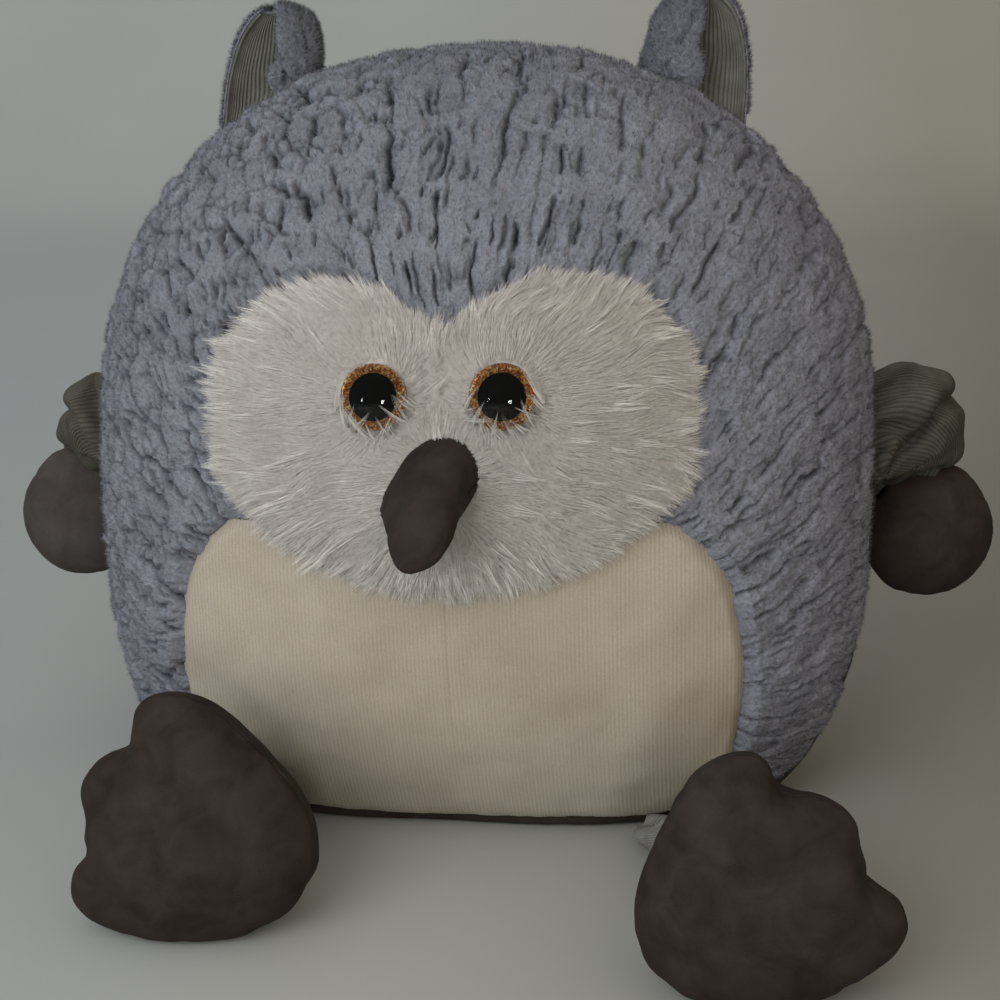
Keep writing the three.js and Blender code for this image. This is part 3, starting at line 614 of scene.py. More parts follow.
# Painted shade in the corduroy's rib grooves
GROOVE_PAINTED_SHADE = (0.55, 0.55, 0.54)
grey_cord = cloth("grey_corduroy", (0.048, 0.047, 0.036), (0.082, 0.081, 0.065), 12, 0.6, 0.15, 0.2,
                  deep_painted_shade=GROOVE_PAINTED_SHADE)
# A lighter copy of the grey corduroy for the ears' lining: painted light, lifting the shade in the ear's cup
ear_cord_painted_lighter = cloth("grey_corduroy_lining_painted_lighter", (0.088, 0.088, 0.075), (0.14, 0.141, 0.123), 12, 0.6, 0.15, 0.2,
                 deep_painted_shade=GROOVE_PAINTED_SHADE)
# A lighter copy of the grey corduroy for the legs: painted light, lifting the shade of the foot and the body
# on them
leg_cord_painted_lighter = cloth("grey_corduroy_legs_painted_lighter", (0.17, 0.17, 0.155), (0.25, 0.25, 0.23), 12, 0.6, 0.15, 0.2,
                 deep_painted_shade=GROOVE_PAINTED_SHADE)
velour = cloth("dark_velour", (0.020, 0.0142, 0.011), (0.036, 0.027, 0.0225), 17, 0.55,
               0.08, 0.22, 0.85, 0.6)
# A lighter copy of the velour for the owl's right hand: painted light, standing in for the sheen and the
# window light on it
painted_lighter_velour = cloth("dark_velour_painted_lighter", (0.040, 0.034, 0.031), (0.062, 0.054, 0.049), 17, 0.55,
                       0.08, 0.3, 0.85, 0.6)


def glitter():
    m, tree, shader = material("amber_glitter")
    where = object_place(tree)
    cells = set_up(tree, "ShaderNodeTexVoronoi", Vector=where, Scale=1 / (0.55 * MM), Randomness=1.0)
    split = set_up(tree, "ShaderNodeSeparateColor", Color=cells.outputs["Color"])
    flake = ramp(tree, split.outputs["Red"], [
        (0.0, (0.2, 0.035, 0.003)), (0.5, (0.75, 0.19, 0.012)),
        (0.78, (1.0, 0.48, 0.05)), (1.0, (1.0, 0.9, 0.45)),
    ])
    fill_in(tree, shader, Base_Color=flake, Metallic=0.25, Roughness=0.3)
    bumped(tree, shader, split.outputs["Green"], 0.35)
    return m


def plastic(name, dark, light, rough, gloss):
    m, tree, shader = material(name)
    fine = noise_node(tree, object_place(tree), 1.5, 2.0)
    fill_in(tree, shader, Base_Color=ramp(tree, fine, [(0.3, dark), (0.7, light)]), Roughness=rough,
            Specular_IOR_Level=gloss)
    return m


def clear_dome():
    m, tree, shader = material("clear_dome")
    haze = noise_node(tree, object_place(tree), 6, 2.0)
    fill_in(tree, shader, Base_Color=(1, 1, 1, 1), Transmission_Weight=1, IOR=1.38,
            Roughness=ramp(tree, haze, [(0.3, (0.0, 0.0, 0.0)), (0.9, (0.008, 0.008, 0.008))]))
    return m


def tinsel():
    m, tree, shader = material("tinsel")
    fine = noise_node(tree, object_place(tree), 4, 2.0)
    colour = ramp(tree, fine, [(0.3, (0.8, 0.82, 0.9)), (0.7, (0.95, 0.95, 1))])
    fill_in(tree, shader, Base_Color=colour, Metallic=1, Roughness=0.25)
    return m


iris_look = glitter()
pupil_look = plastic("pupil_black", (0.0006, 0.0006, 0.0006), (0.0015, 0.0014, 0.0014), 0.6, 0.0)
post_look = plastic("post_plastic", (0.03, 0.03, 0.03), (0.05, 0.05, 0.05), 0.5, 0.2)
dome_look = clear_dome()
tinsel_look = tinsel()


# Lavender front of the torso: tufts of matted pile that fan out from low in the middle, with thin cracks
FAN_Z, FAN_CORE = -130, 200
TUFT_LAYERS = ((12.0, 21, 1.0), (6.2, 31, 0.6))


def fanned(p, squeeze):
    """Places drawn together along the lines that fan out, so that a pattern in them is stretched."""
    x, z = p[..., 0], p[..., 2] - FAN_Z
    far = np.hypot(x, z)
    scale = (FAN_CORE + (far - FAN_CORE) * squeeze) / far
    return np.stack([x * scale, (0.15 + squeeze) * p[..., 1], z * scale], -1)


def clumps(p, lean_x, n):
    """Height of the clumped pile, from 0 in the cracks to about 1 on the tufts. n is the cloth's normals."""
    moved = p + 3.0 * noises(p, 26, 11)
    moved += 1.2 * noises(p, 6, 14)
    drawn = fanned(moved, 0.65 - 0.42 * smooth(-80, 10, lean_x))
    outwards = unit(upright(p[..., 0], p[..., 2] - FAN_Z))
    over = np.clip((n * outwards).sum(-1), 0, 1)[..., None]
    outwards = outwards * np.sqrt(1 - over ** 2) + over * np.array([0, 1.0, 0])
    crossing = 0.08 + 0.42 * smooth(-10, 80, -lean_x)
    height = np.full(p.shape[:-1], 1.0)
    for size, seed, depth in TUFT_LAYERS:
        border, value, across = tufts(drawn, size, seed)
        open_here = smooth(-0.45, 0.25, noise(p, 12, seed + 3))
        lengthwise = smooth(0.75, 0.25, np.abs((across * outwards).sum(-1)))
        standing = smooth(1.0, 0.75, np.abs((across * n).sum(-1)))
        open_here = open_here * np.maximum(lengthwise, crossing) * standing
        open_here = open_here * (1.35 - 0.5 * smooth(-20, 100, lean_x))
        height += depth * 0.2 * (value - 0.5)
        height -= depth * open_here * (0.16 * np.exp(-border / (0.2 * size)) + 0.52 * np.exp(-border / 0.6))
    return height + 0.06 * noise(fanned(moved, 0.2), 2.2, 45)


TOP_SECTOR = (0.38, 0.62)
PLUSH_FROM = 46


def plush_front():
    cols, rows = 1680, 270
    angle = TURN * (np.arange(cols) / cols - 0.25)
    start = np.arcsin((PLUSH_FROM / outline_radius(angle)) ** (SWELL / 2))
    grid, from_seam = band(angle, start, seam_phi(angle, 0), rows, 0)
    n = outward(grid, True, (0, 0, 0))
    x, z = grid[..., 0], grid[..., 2]
    to_belly, to_face = belly_line.distance(x, z), face_line.distance(x, z)
    keep = (to_belly > -2.5) & (to_face > -4)
    pile = np.zeros(x.shape)
    fine = np.zeros(x.shape)
    near = keep | (to_belly > -6) & (to_face > -8)
    pile[near] = clumps(grid[near], x[near], n[near])
    fine[near] = 0.3 * noise(grid[near], 3.4, 41) + 0.42 * noise(grid[near], 1.5, 51)
    lift = -5.8 + 6.4 * pile + fine
    lift -= 6 * (1 - smooth(-2.5, 4.5, to_belly))
    lift -= 3 * (1 - smooth(-3, 8, to_face))
    lift -= 2.6 * np.exp(-np.maximum(from_seam, 0) / 2)
    row = lifted(grid, n, lift)
    height = pile + 0.2 * fine
    column = np.arange(cols)
    first, second = int(cols * TOP_SECTOR[0]), int(cols * TOP_SECTOR[1])
    sectors = {
        "plush_front_left": column <= first,
        "plush_front_top": (column >= first) & (column <= second),
        "plush_front_right": (column >= second) | (column == 0),
    }
    for name, here in sectors.items():
        ob = grid_piece(name, row, True, lavender, keep & here[None, :], height=height)
        if name == "plush_front_top":
            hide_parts("front_cover", "body_stuffing")
        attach(ob, "torso")

    # Pile tips over the same surface
    n2 = outward(row, True, TORSO_MIDDLE)
    across = np.roll(row, -1, axis=1) - row
    area = np.linalg.norm(np.cross(across, np.gradient(row, axis=0)), axis=-1)
    weight = (area * (keep & (to_belly > 0) & (to_face > -1))).ravel()
    flow = turned_to_row(unit(upright(x, z - FAN_Z))).reshape(-1, 3)
    for name, count, length, width, raised, look in (
        ("plush_front_nap", 190000, 2.0, 0.26, 0.25, lavender_tip),
        ("plush_front_wisps", 90000, 2.6, 0.14, 1.0, lavender_tip),
        ("plush_front_tinsel", 900, 1.3, 0.28, 0.5, tinsel_look),
    ):
        chance = weight * smooth(0.3, 0.9, pile).ravel()
        pick = random.choice(len(chance), count, p=chance / chance.sum())
        away = n2.reshape(-1, 3)[pick]
        roots = row.reshape(-1, 3)[pick] + random.uniform(-0.5, 0.5, (count, 3)) - away * 0.35
        roots[:, 2] = np.maximum(roots[:, 2], 0.4)
        heading = raised * away + 0.7 * flow[pick] + 0.35 * random.normal(size=(count, 3))
        heading[:, 2] = np.where(roots[:, 2] < 5, np.abs(heading[:, 2]), heading[:, 2])
        tips = blades(name, roots, heading, length * random.uniform(0.6, 1.3, count),
                      np.full(count, width), look, away, tilt=0.15)
        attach(tips, "torso")


# Cream belly: fine ribs as real ridges, drawn in a little at its seams
RIB = 1.7


def rib(across, pitch):
    """How high a place is on its rib, from 0 in the groove to 1 on top."""
    return np.abs(np.cos(math.pi * across / pitch)) ** 0.8


def belly():
    step = RIB / 4
    xs = np.arange(-128, 128 + step, step)
    rows = 112
    columns = []
    for x in xs:
        z = np.linspace(-26, -184, 900)
        inside = np.hypot(x, z) < outline_radius(np.arctan2(z, np.full_like(z, x))) - BELLY_INSET
        z = z[inside]
        y = -front_depth(np.full_like(z, x), z, BELLY_INSET)
        past = y - seam_depth(z)
        k = np.argmax(past > 0) if (past > 0).any() else len(z) - 1
        z, y = z[:k + 1], y[:k + 1]
        arc = np.concatenate([[0], np.cumsum(np.hypot(np.diff(z), np.diff(y)))])
        at = np.linspace(0, arc[-1], rows)
        y, z = np.interp(at, arc, y), np.interp(at, arc, z)
        columns.append(np.stack([np.full(rows, x), y, z, arc[-1] - at], -1))
    both = np.stack(columns, 1)
    grid, from_seam = both[..., :3], both[..., 3]
    n = outward(grid, False, (0, 0, 0))
    x, z = grid[..., 0], grid[..., 2]
    inside = -belly_line.distance(x, z)
    broad = grid * np.array([1, 1, 0.35])
    lift = 0.9 * noise(broad, 34, 61) + 0.5 * noise(grid, 15, 62)
    lift -= 0.7 * np.exp(-((x - 2 - 2 * noise(grid, 40, 63)) / 1.6) ** 2) * smooth(-150, -60, z)
    lift -= 4.5 * (1 - smooth(-2, 7, inside))
    lift -= 3.2 * np.exp(-from_seam / 3)
    pull = np.exp(-np.maximum(inside, 0) / 9) + np.exp(-from_seam / 9)
    lift += 0.5 * pull * noise(grid, 7, 64)
    ridge = rib(x, RIB)
    lift += 0.17 * ridge
    row = lifted(grid, n, lift)
    keep = (inside > -4) & (face_line.distance(x, z) > -3)
    ob = grid_piece("belly_panel", row, False, cream, keep, height=ridge)
    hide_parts("belly_patch")
    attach(ob, "torso")


def back_panel():
    """The back cover, with its edge tucked under the front cover's at the side seam."""
    cols, rows = 420, 153
    angle = turns(cols)
    seam = np.interp(seam_phi(angle, BACK_INSET), PHIS, ARCS)
    edge = np.interp(seam - BACK_TUCK, ARCS, PHIS)
    middle = np.full(cols, math.pi - 0.0003)
    grid, left = band(angle, edge, middle, rows, BACK_INSET)
    from_seam = (np.interp(middle, PHIS, ARCS) - seam)[None, :] - left
    n = outward(grid, True, (0, 0, 0))
    lift = 0.8 * noise(grid, 30, 71) + 1.1 * noise(grid * np.array([1, 1, 0.5]), 60, 72)
    pucker = np.exp(-from_seam / 10)
    ring = circle(angle)[None] * np.ones((rows, 1, 1))
    lift += 0.7 * pucker * noise(ring * 180, 6, 73)
    lift -= 2.4 * np.exp(-np.maximum(from_seam, 0) / 2.4)
    lift += 0.4 * np.minimum(from_seam, 0)
    row = lifted(grid, n, lift)
    ob = grid_piece("back_panel", row, True, velour)
    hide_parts("back_cover")
    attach(ob, "torso")


# Face: a white base with long hair combed outwards, shorter near the eyes, the beak and the patch's edge
FACE_DRAWN_IN, FACE_INSET = 3.0, 3
LOCKS, LOCK_HAIRS = 1100, 7
FRINGE_LOCKS, FRINGE_HAIRS = 15, 8
UNDER_HAIRS, LONG_HAIRS, HAIR_TUFTS, HAIR_WIDE = 120000, 76000, 4200, 0.38
HAIR_MARGIN = 3.5
EYE_FREE = 13.8


def eye_place(sign):
    x, z = EYE
    return np.array([sign * x, -float(front_depth(np.array(x), np.array(z), BELLY_INSET)), z])


def on_face(x, z):
    """Points on the face and the surface's normals there."""
    step = 0.5
    here, beside, above = (
        np.stack([u, -front_depth(u, v, FACE_INSET), v], -1)
        for u, v in ((x, z), (x + step, z), (x, z + step))
    )
    n = unit(np.cross(beside - here, above - here))
    return here, n * np.where((n * here).sum(-1) > 0, 1, -1)[..., None]


def face_inside(x, z):
    """How far a place is inside the patch, which is drawn in on the owl's right."""
    return -face_line.distance(x, z) - FACE_DRAWN_IN * smooth(20, 70, -x)


def face_spots(count, margin):
    """Places for hair, clear of the eyes and the beak, and how far each is inside the patch."""
    x, z = random.uniform((-104, -60), (104, 78), (count * 2, 2)).T
    inside = face_inside(x, z)
    across = x + BEAK_ASIDE
    up = z - BEAK_Z - 2 - BEAK_SKEW * across
    off_beak = np.hypot(across / (BEAK_WIDE - 3), up / (BEAK_HIGH * np.where(up > 0, 0.84, 0.5)))
    free = (inside > margin) & (off_beak > 1)
    for sign in (1, -1):
        free &= np.hypot(x - sign * EYE[0], z - EYE[1]) > EYE_FREE
    return x[free][:count], z[free][:count], inside[free][:count]


def combed(x, z, inside, roots, n):
    """Which way the hair is combed, how long it is and how steeply it stands."""
    count = len(x)
    from_z = np.where(z < -8, -2, np.minimum(z * 0.4, 30))
    flow = unit(upright(x + 0.001, z - from_z))
    flow += 0.7 * upright(noise(roots, 18, 82), noise(roots, 18, 83))
    length = 12.5 * random.uniform(0.75, 1.2, count)
    rise = np.full(count, 0.48)
    for sign in (1, -1):
        away = upright(x - sign * EYE[0], z - EYE[1])
        near = 1 - smooth(14, 30, np.linalg.norm(away, axis=1))
        flow += (near * 3.2)[:, None] * unit(away)
        length *= 1 - near * 0.4
    off_beak = upright(x / BEAK_WIDE, (z - BEAK_Z) / BEAK_HIGH)
    near = 1 - smooth(1.0, 1.9, np.linalg.norm(off_beak, axis=1))
    flow += (near * 1.2)[:, None] * unit(off_beak)
    length *= 1 - 0.3 * near
    edge = 1 - smooth(2, 18, inside)
    length *= 1 - 0.5 * edge
    rise += 0.15 * edge
    flow = unit(flow)
    return unit(flow - (flow * n).sum(1)[:, None] * n), length, rise


def face():
    step = 1.2
    xs, zs = np.arange(-106, 106.1, step), np.arange(-61, 80, step)
    z, x = np.meshgrid(zs, xs, indexing="ij")
    grid, n = on_face(x, z)
    inside = -face_line.distance(x, z)
    lift = 0.8 * noise(grid, 9, 81) + 0.4 * noise(grid, 3, 84) - 4 * (1 - smooth(0, 9, inside))
    row = to_row(grid + n * lift[..., None])
    ob = grid_piece("face_base", row, False, white, face_inside(x, z) > 1)
    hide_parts("face_patch")
    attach(ob, "torso")

    x, z, inside = face_spots(UNDER_HAIRS, HAIR_MARGIN)
    roots, n = on_face(x, z)
    flow, length, rise = combed(x, z, inside, roots, n)
    heading = flow * 0.8 + n * 0.7 + 0.3 * random.normal(size=roots.shape)
    under = hairs("face_fur_under", roots, heading, 0.5, white_tip, n, length=length * 0.45, scatter=0.15)

    x, z, inside = face_spots(LONG_HAIRS, HAIR_MARGIN)
    roots, n = on_face(x, z)
    flow, length, rise = combed(x, z, inside, roots, n)
    count = len(x)
    longer = smooth(0, 0.6, noise(roots, 8, 85) + 0.25 * random.normal(size=count))
    length *= 1 + 0.5 * longer * (1 - smooth(6, 14, inside))
    tips = roots + (flow * 0.85 + n * rise[:, None]) * length[:, None]

    # Tufts: each hair's tip leans to the tip of its tuft
    heads = random.choice(count, HAIR_TUFTS, replace=False)
    tree = KDTree(HAIR_TUFTS)
    for k, h in enumerate(heads):
        tree.insert(Vector(roots[h]), k)
    tree.balance()
    nearest = np.array([heads[tree.find(Vector(r))[1]] for r in roots])
    tips += (tips[nearest] - tips) * random.uniform(0.1, 0.6, count)[:, None]
    tips += random.normal(size=(count, 3)) * 1.0
    arch = n * (length * 0.34)[:, None]
    heading = tips - roots + arch
    pieces = [under]
    for name, part in (("face_hair_left", x >= 0), ("face_hair_right", x < 0)):
        pieces.append(hairs(name, roots[part], heading[part], HAIR_WIDE, white_tip, n[part],
                            bend=-arch[part], steps=3))

    # Bright locks, in a lighter copy of the white hair as painted highlight: hairs that share a tip, most of
    # them near the patch's edge
    x, z, inside = face_spots(LOCKS, 4)
    by_eyes = 1 - smooth(18, 34, np.hypot(np.abs(x) - EYE[0], z - EYE[1]))
    chosen = random.uniform(size=len(x)) < (0.12 + 0.7 * (1 - smooth(8, 26, inside))) * (1 - by_eyes)
    x, z, inside = x[chosen], z[chosen], inside[chosen]
    roots, n = on_face(x, z)
    flow, length, rise = combed(x, z, inside, roots, n)
    length *= random.uniform(0.8, 1.5, len(x))
    tips = roots + (flow + n * (rise + 0.2)[:, None]) * length[:, None]
    roots, tips, n = (np.repeat(v, LOCK_HAIRS, axis=0) for v in (roots, tips, n))
    roots = roots + random.normal(size=roots.shape) * np.array([1.5, 0.4, 1.5]) + 1.5 * n
    tips = tips + 0.45 * random.normal(size=roots.shape)
    arch = n * 0.3 * np.repeat(length, LOCK_HAIRS)[:, None]
    heading = tips - roots + arch
    pieces.append(hairs("face_locks", roots, heading, HAIR_WIDE, white_painted_shine, n, bend=-arch, steps=3))

    # Hairs from below that fall over the edge of each eye
    for side, sign in SIDES:
        locks, each = FRINGE_LOCKS, FRINGE_HAIRS
        count = locks * each
        lock_turn = np.linspace(-1, 1, locks) + random.uniform(-0.08, 0.08, locks)
        a = math.radians(-90) + math.radians(78) * np.repeat(lock_turn, each)
        apart = random.normal(size=(count, 1))
        out = upright(np.cos(a), np.sin(a))
        ahead = np.array([0, -1.0, 0])
        reach = np.repeat(random.uniform(0.55, 1.0, locks), each)[:, None]
        reach = reach + random.uniform(-0.08, 0.08, (count, 1))
        middle = eye_place(sign)
        sideways = upright(-np.sin(a), np.cos(a))
        roots = middle + out * random.uniform(15.2, 17.5, count)[:, None] + ahead + 0.9 * apart * sideways
        swing = random.normal(size=(locks, 1))
        aside = 1.9 * np.repeat(swing, each, axis=0) * sideways - 0.35 * apart * sideways
        inward = unit(-out + np.array([0, 0, 0.7]))
        start = (inward * 6 + ahead * 19.4) * reach + aside
        bend = (inward * 6 - ahead * 7.6) * reach + aside
        surface = np.repeat([[0, -1.0, 0.2]], count, axis=0)
        pieces.append(hairs(f"eye_{side}_fringe", roots, start, 0.6, white_tip, unit(surface),
                            bend=bend, steps=5))
    for ob in pieces:
        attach(ob, "torso")


# Beak: one soft form, with a seam drawn in down each side and a soft ridge on top
def beak():
    base = -float(front_depth(np.array(0.0), np.array(BEAK_Z - BEAK_HIGH), BELLY_INSET))
    cols, rows = 200, 80
    angle = turns(cols)[None, :]
    share = np.sin(math.pi / 2 * np.linspace(-0.14, 1, rows))[:, None]
    ahead = np.maximum(share, 0)
    size = (1 - 0.53 * ahead) * np.sqrt(np.maximum(1 - ahead ** 22, 0))
    s, c = np.sin(angle), np.cos(angle)
    corner = np.where(s > 0, np.where(c > 0, 0.92, 1.3), 1.8 - 1.1 * ahead)
    wide = 1.1 * BEAK_WIDE * size * np.sign(c) * np.abs(c) ** corner
    high = BEAK_HIGH * size * np.where(s > 0, 1.0, 0.9 - 0.15 * ahead) * np.sign(s) * np.abs(s) ** corner
    x = wide - BEAK_ASIDE + 2.4 * ahead
    z = high + BEAK_SKEW * wide
    z = z + BEAK_Z + 2 - (BEAK_HOOK + 2.5) * ahead ** 2
    y = base - BEAK_LONG * share + 0 * angle
    grid = np.stack([x + 0 * share, y, z + 0 * share], -1)
    centre = (-3, base - 8, BEAK_Z - 4)
    n = outward(grid, True, centre)

    def near(turn, width):
        return np.exp(-(np.abs(np.sin((angle - turn) / 2)) / width) ** 2)

    side_seam = (near(math.pi, 0.025) + near(0, 0.025)) * (1 - smooth(0.3, 0.6, ahead))
    near_seam = near(math.pi, 0.2) + near(0, 0.2)
    ridge = near(math.pi / 2, 0.05)
    lift = 0.7 * noise(grid, 14, 91) + 0.12 * noise(grid, 4, 92) - 1.1 * side_seam + 0.15 * ridge
    lift = lift + 0.5 * noise(grid, 5, 93) * near_seam
    grid = grid + n * (lift * smooth(0, 0.3, size))[..., None]
    row = to_row(grid)
    ob = grid_piece("beak_pad", row, True, velour, centre=to_row(np.array(centre)))
    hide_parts("beak_cover", "beak_stuffing")
    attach(ob, "torso")


# Eyes: turned parts on the torso's front
def turned(name, profile, place, look, sides=72):
    """A closed turned part: its profile is [radius, height] pairs, and it stands forward from its place."""
    a = turns(sides)
    r, h = np.array(profile, float).T
    grid = np.stack([
        place[0] + r[:, None] * np.cos(a), place[1] - h[:, None] + 0 * a, place[2] + r[:, None] * np.sin(a),
    ], -1)
    centre = np.array([place[0], place[1] - (h.min() + h.max()) / 2, place[2]])
    return grid_piece(name, to_row(grid), True, look, centre=to_row(centre))


def arc_profile(radius, base, edge, dome, steps=14):
    turn = np.linspace(0, math.pi / 2, steps)
    return [[radius * math.cos(t), base + edge + dome * math.sin(t)] for t in turn]


def rounded_disc(radius, low, high, round_by):
    turn = np.linspace(0, math.pi / 2, 6)
    inner = radius - round_by
    low_edge = [[inner + round_by * math.sin(t), low + round_by - round_by * math.cos(t)] for t in turn]
    high_edge = [[inner + round_by * math.cos(t), high - round_by + round_by * math.sin(t)] for t in turn]
    return [[0.01, low], *low_edge, *high_edge, [0.01, high]]


def eyes():
    recess = [[0.01, 5.3], [8.8, 5.3], [9.3, 5.1], [11.4, 3.3], [13.2, 3.2], [13.5, 3.5]]
    dome = [*recess, *arc_profile(13.5, 3.2, 0.8, 7.3)[:-1], [0.01, 11.3]]
    for side, sign in SIDES:
        for piece, node, profile, look, slot in (
            ("iris_disc", "iris", rounded_disc(13.2, 1.9, 2.9, 0.3), iris_look, "iris_amber"),
            ("pupil_disc", "pupil", rounded_disc(9, 3.2, 5.0, 0.5), pupil_look, "pupil_black"),
            ("dome", "lens", dome, dome_look, "clear_dome"),
        ):
            ob = turned(f"eye_{side}_{piece}", profile, eye_place(sign), look)
            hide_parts(f"eye_{side}_{node}")
            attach(ob, "torso")


# Ears: a rolled sheet with plush outside and corduroy inside; its inner edge folds over the front
EAR_X, EAR_Y, EAR_HALF, EAR_DEEP, EAR_TOP = 98.5, 2, 21, 8, 201
EAR_LEAN, EAR_PLUSH = 5, 2.8
EAR_ARC, EAR_RIB = 77, 2.0
EAR_COLS, EAR_ROWS = 240, 100


def outline_height(x):
    angles = np.linspace(0, math.pi / 2, 2000)
    r = outline_radius(angles)
    return np.interp(x, (r * np.cos(angles))[::-1], (r * np.sin(angles))[::-1])


def ear_sheet(across, up, off, sign):
    """across runs from 0, the outer edge, to 1, the folded inner edge. off is how far out of the roll."""
    flap = (92 if sign > 0 else 78) + 14 * noise(np.stack([up * 50, 0 * up, 0 * up + sign], -1), 17, 103)
    turn = np.radians(2 + (180 + flap) * across)
    width = EAR_HALF * np.sqrt(np.maximum(1 - (up * 0.99) ** 3, 0))
    deep = EAR_DEEP * np.minimum(1, (up + 0.12) / 0.35) * (1 - 0.6 * up ** 2)
    x = EAR_X + (width + off) * np.cos(turn) + sign * EAR_LEAN * up
    y = EAR_Y + (deep + off) * np.sin(turn)
    low = outline_height(np.clip(EAR_X + EAR_HALF * np.cos(turn), 0, 170)) - 4
    return np.stack([x, y, low + (EAR_TOP + off - low) * up], -1)


def ear_shell(name, out, into, look, height=None):
    """A double wall between two sheets, joined round its edges and open at the root."""
    grid = np.concatenate([out, into[:, ::-1]], axis=1)
    faces, uvs = grid_faces(grid.shape[0], grid.shape[1], True)
    points = grid.reshape(-1, 3)
    middle = points.mean(axis=0)
    a, b, c, d = (points[faces[:, k]] - middle for k in range(4))
    volume = (a * np.cross(b, c)).sum() + (a * np.cross(c, d)).sum()
    if volume < 0:
        faces, uvs = faces[:, ::-1], uvs[:, ::-1]
    return make(name, points, faces, look, uvs, height)


def ears():
    for side, sign in SIDES:
        mirror = np.array([sign, 1, 1])
        a, u = np.meshgrid(np.linspace(0, 1, EAR_COLS), np.linspace(0, 1, EAR_ROWS), indexing="xy")
        round_off = np.sqrt(np.maximum(1 - np.abs(2 * a - 1) ** 16, 0)) * np.sqrt(np.maximum(1 - u ** 12, 0))
        round_off *= 0.4 + 0.6 * smooth(0, 0.3, a)
        out = ear_sheet(a, u, 0.2 + EAR_PLUSH * round_off, sign)
        into = ear_sheet(a, u, 0.2, sign)
        pile = clumps(out * 1.35 + 40 * sign, np.zeros(a.shape), np.zeros(out.shape))
        fine = noise(out, 1.6, 101)
        lift = round_off * (2.8 * (pile - 0.7) + 0.4 * fine)
        out = out + unit(out - ear_sheet(a, u, -4, sign)) * lift[..., None]
        height = np.concatenate([pile + 0.2 * fine, np.full(a.shape, 0.8)], axis=1)
        outer = to_row(out * mirror)
        cover = ear_shell(f"ear_{side}_plush", outer, to_row(into * mirror), lavender, height)
        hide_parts(f"ear_{side}_cover")

        across, up = 0.004 + 0.93 * a, 0.97 * u
        ridge = rib(across * EAR_ARC, EAR_RIB)
        thick = 0.9 + 0.7 * ridge + 0.4 * noise(into, 12, 102)
        face_in = ear_sheet(across, up, -0.1 - thick, sign)
        wall = to_row(ear_sheet(across, up, -0.1, sign) * mirror)
        # The lining takes the lighter copy of the corduroy, painted light
        lining = ear_shell(f"ear_{side}_corduroy", wall, to_row(face_in * mirror), ear_cord_painted_lighter,
                           np.concatenate([ridge, ridge[:, ::-1]], axis=1))
        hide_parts(f"ear_{side}_lining")

        hinge = to_row(np.array([sign * EAR_X, SEWN_Y, float(outline_height(EAR_X))]))
        along = turned_to_row(np.array([0.0, 0, 1]))
        n = outward(outer, False, hinge + along * 25)
        count = 32000
        hidden = 12 * EAR_COLS
        pick = hidden + random.integers(0, EAR_ROWS * EAR_COLS - hidden, count)
        away = n.reshape(-1, 3)[pick]
        roots = outer.reshape(-1, 3)[pick] + random.uniform(-0.5, 0.5, (count, 3)) - 0.4 * away
        heading = 0.8 * away + 0.4 * along + 0.5 * random.normal(size=(count, 3))
        tips = blades(f"ear_{side}_nap", roots, heading, 2.9 * random.uniform(0.6, 1.3, count),
                      np.full(count, 0.28), lavender_tip, away, tilt=0.3)
        for ob in (cover, lining, tips):
            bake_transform(ob)


# Limbs
def tube_grid(points, sizes, v_from, v_to, cols, rows):
    """A tube of rings along a smooth path, in the frame the points are in, with its path."""
    path = catmull(points, rows, False)
    tangent = unit(np.gradient(path, axis=0))
    t = np.linspace(0, 1, rows)
    wish = unit(np.outer(1 - t, v_from) + np.outer(t, v_to))
    v = unit(wish - (wish * tangent).sum(1)[:, None] * tangent)
    w = unit(np.cross(tangent, v))
    at = t * (len(sizes) - 1)
    size = np.stack([np.interp(at, np.arange(len(sizes)), np.array(sizes, float)[:, k]) for k in (0, 1)], -1)
    a = turns(cols)
    grid = (path[:, None] + v[:, None] * (size[:, None, :1] * np.cos(a)[None, :, None])
            + w[:, None] * (size[:, None, 1:] * np.sin(a)[None, :, None]))
    return grid, path


CREASE_SIDE = math.radians(70)
SLEEVE_RIBS = 76


def sleeve(points, sizes, v_from, v_to, seed, spare, cap, creases=()):
    """A corduroy sleeve between two held rings, with more cloth than it has room for and creases drawn in.

    Each crease is a place along the sleeve, how far it wanders, the angle where it is furthest, its depth.
    It comes back with the line it follows and how high each point is on its rib.
    """
    coarse, path = tube_grid(points, sizes, v_from, v_to, 56, 34)
    rows, cols = 112, 380
    coarse[1:-1] += 2.0 * noises(coarse, 17, seed)[1:-1]
    blown = stuffed(coarse, [0, 1, -2, -1], spare=spare, pressure=0.25, cap=cap, bend=4.0, frames=30)
    grid = finer(blown, rows, cols, True)
    along = np.linspace(0, 1, rows)[:, None]
    a = turns(cols)
    n = normals_of(grid, True)
    spine = finer(path[:, None], rows, 1, False)
    n = n if ((grid - spine) * n).sum() > 0 else -n
    ends = np.minimum(smooth(0, 0.1, along), smooth(1, 0.9, along))
    ridge = np.broadcast_to(rib(a * SLEEVE_RIBS, math.pi * 2), (rows, cols))
    lift = 0.5 * ends * noise(grid, 7, seed + 5) + 0.4 * ridge
    lift = lift - 0.8 * np.exp(-(along - 0) / 0.03) - 0.8 * np.exp(-(1 - along) / 0.03)
    for place, wander, furthest, depth in creases:
        past = along - place - wander * np.cos(a - furthest)
        facing_it = 0.5 + 0.5 * np.cos(a - CREASE_SIDE)
        lip = np.exp(-((past + 0.08) / 0.06) ** 2)
        lift = lift + depth * facing_it * (0.7 * lip - np.exp(-(past / 0.035) ** 2))
    return grid + n * lift[..., None], spine[:, 0], ridge


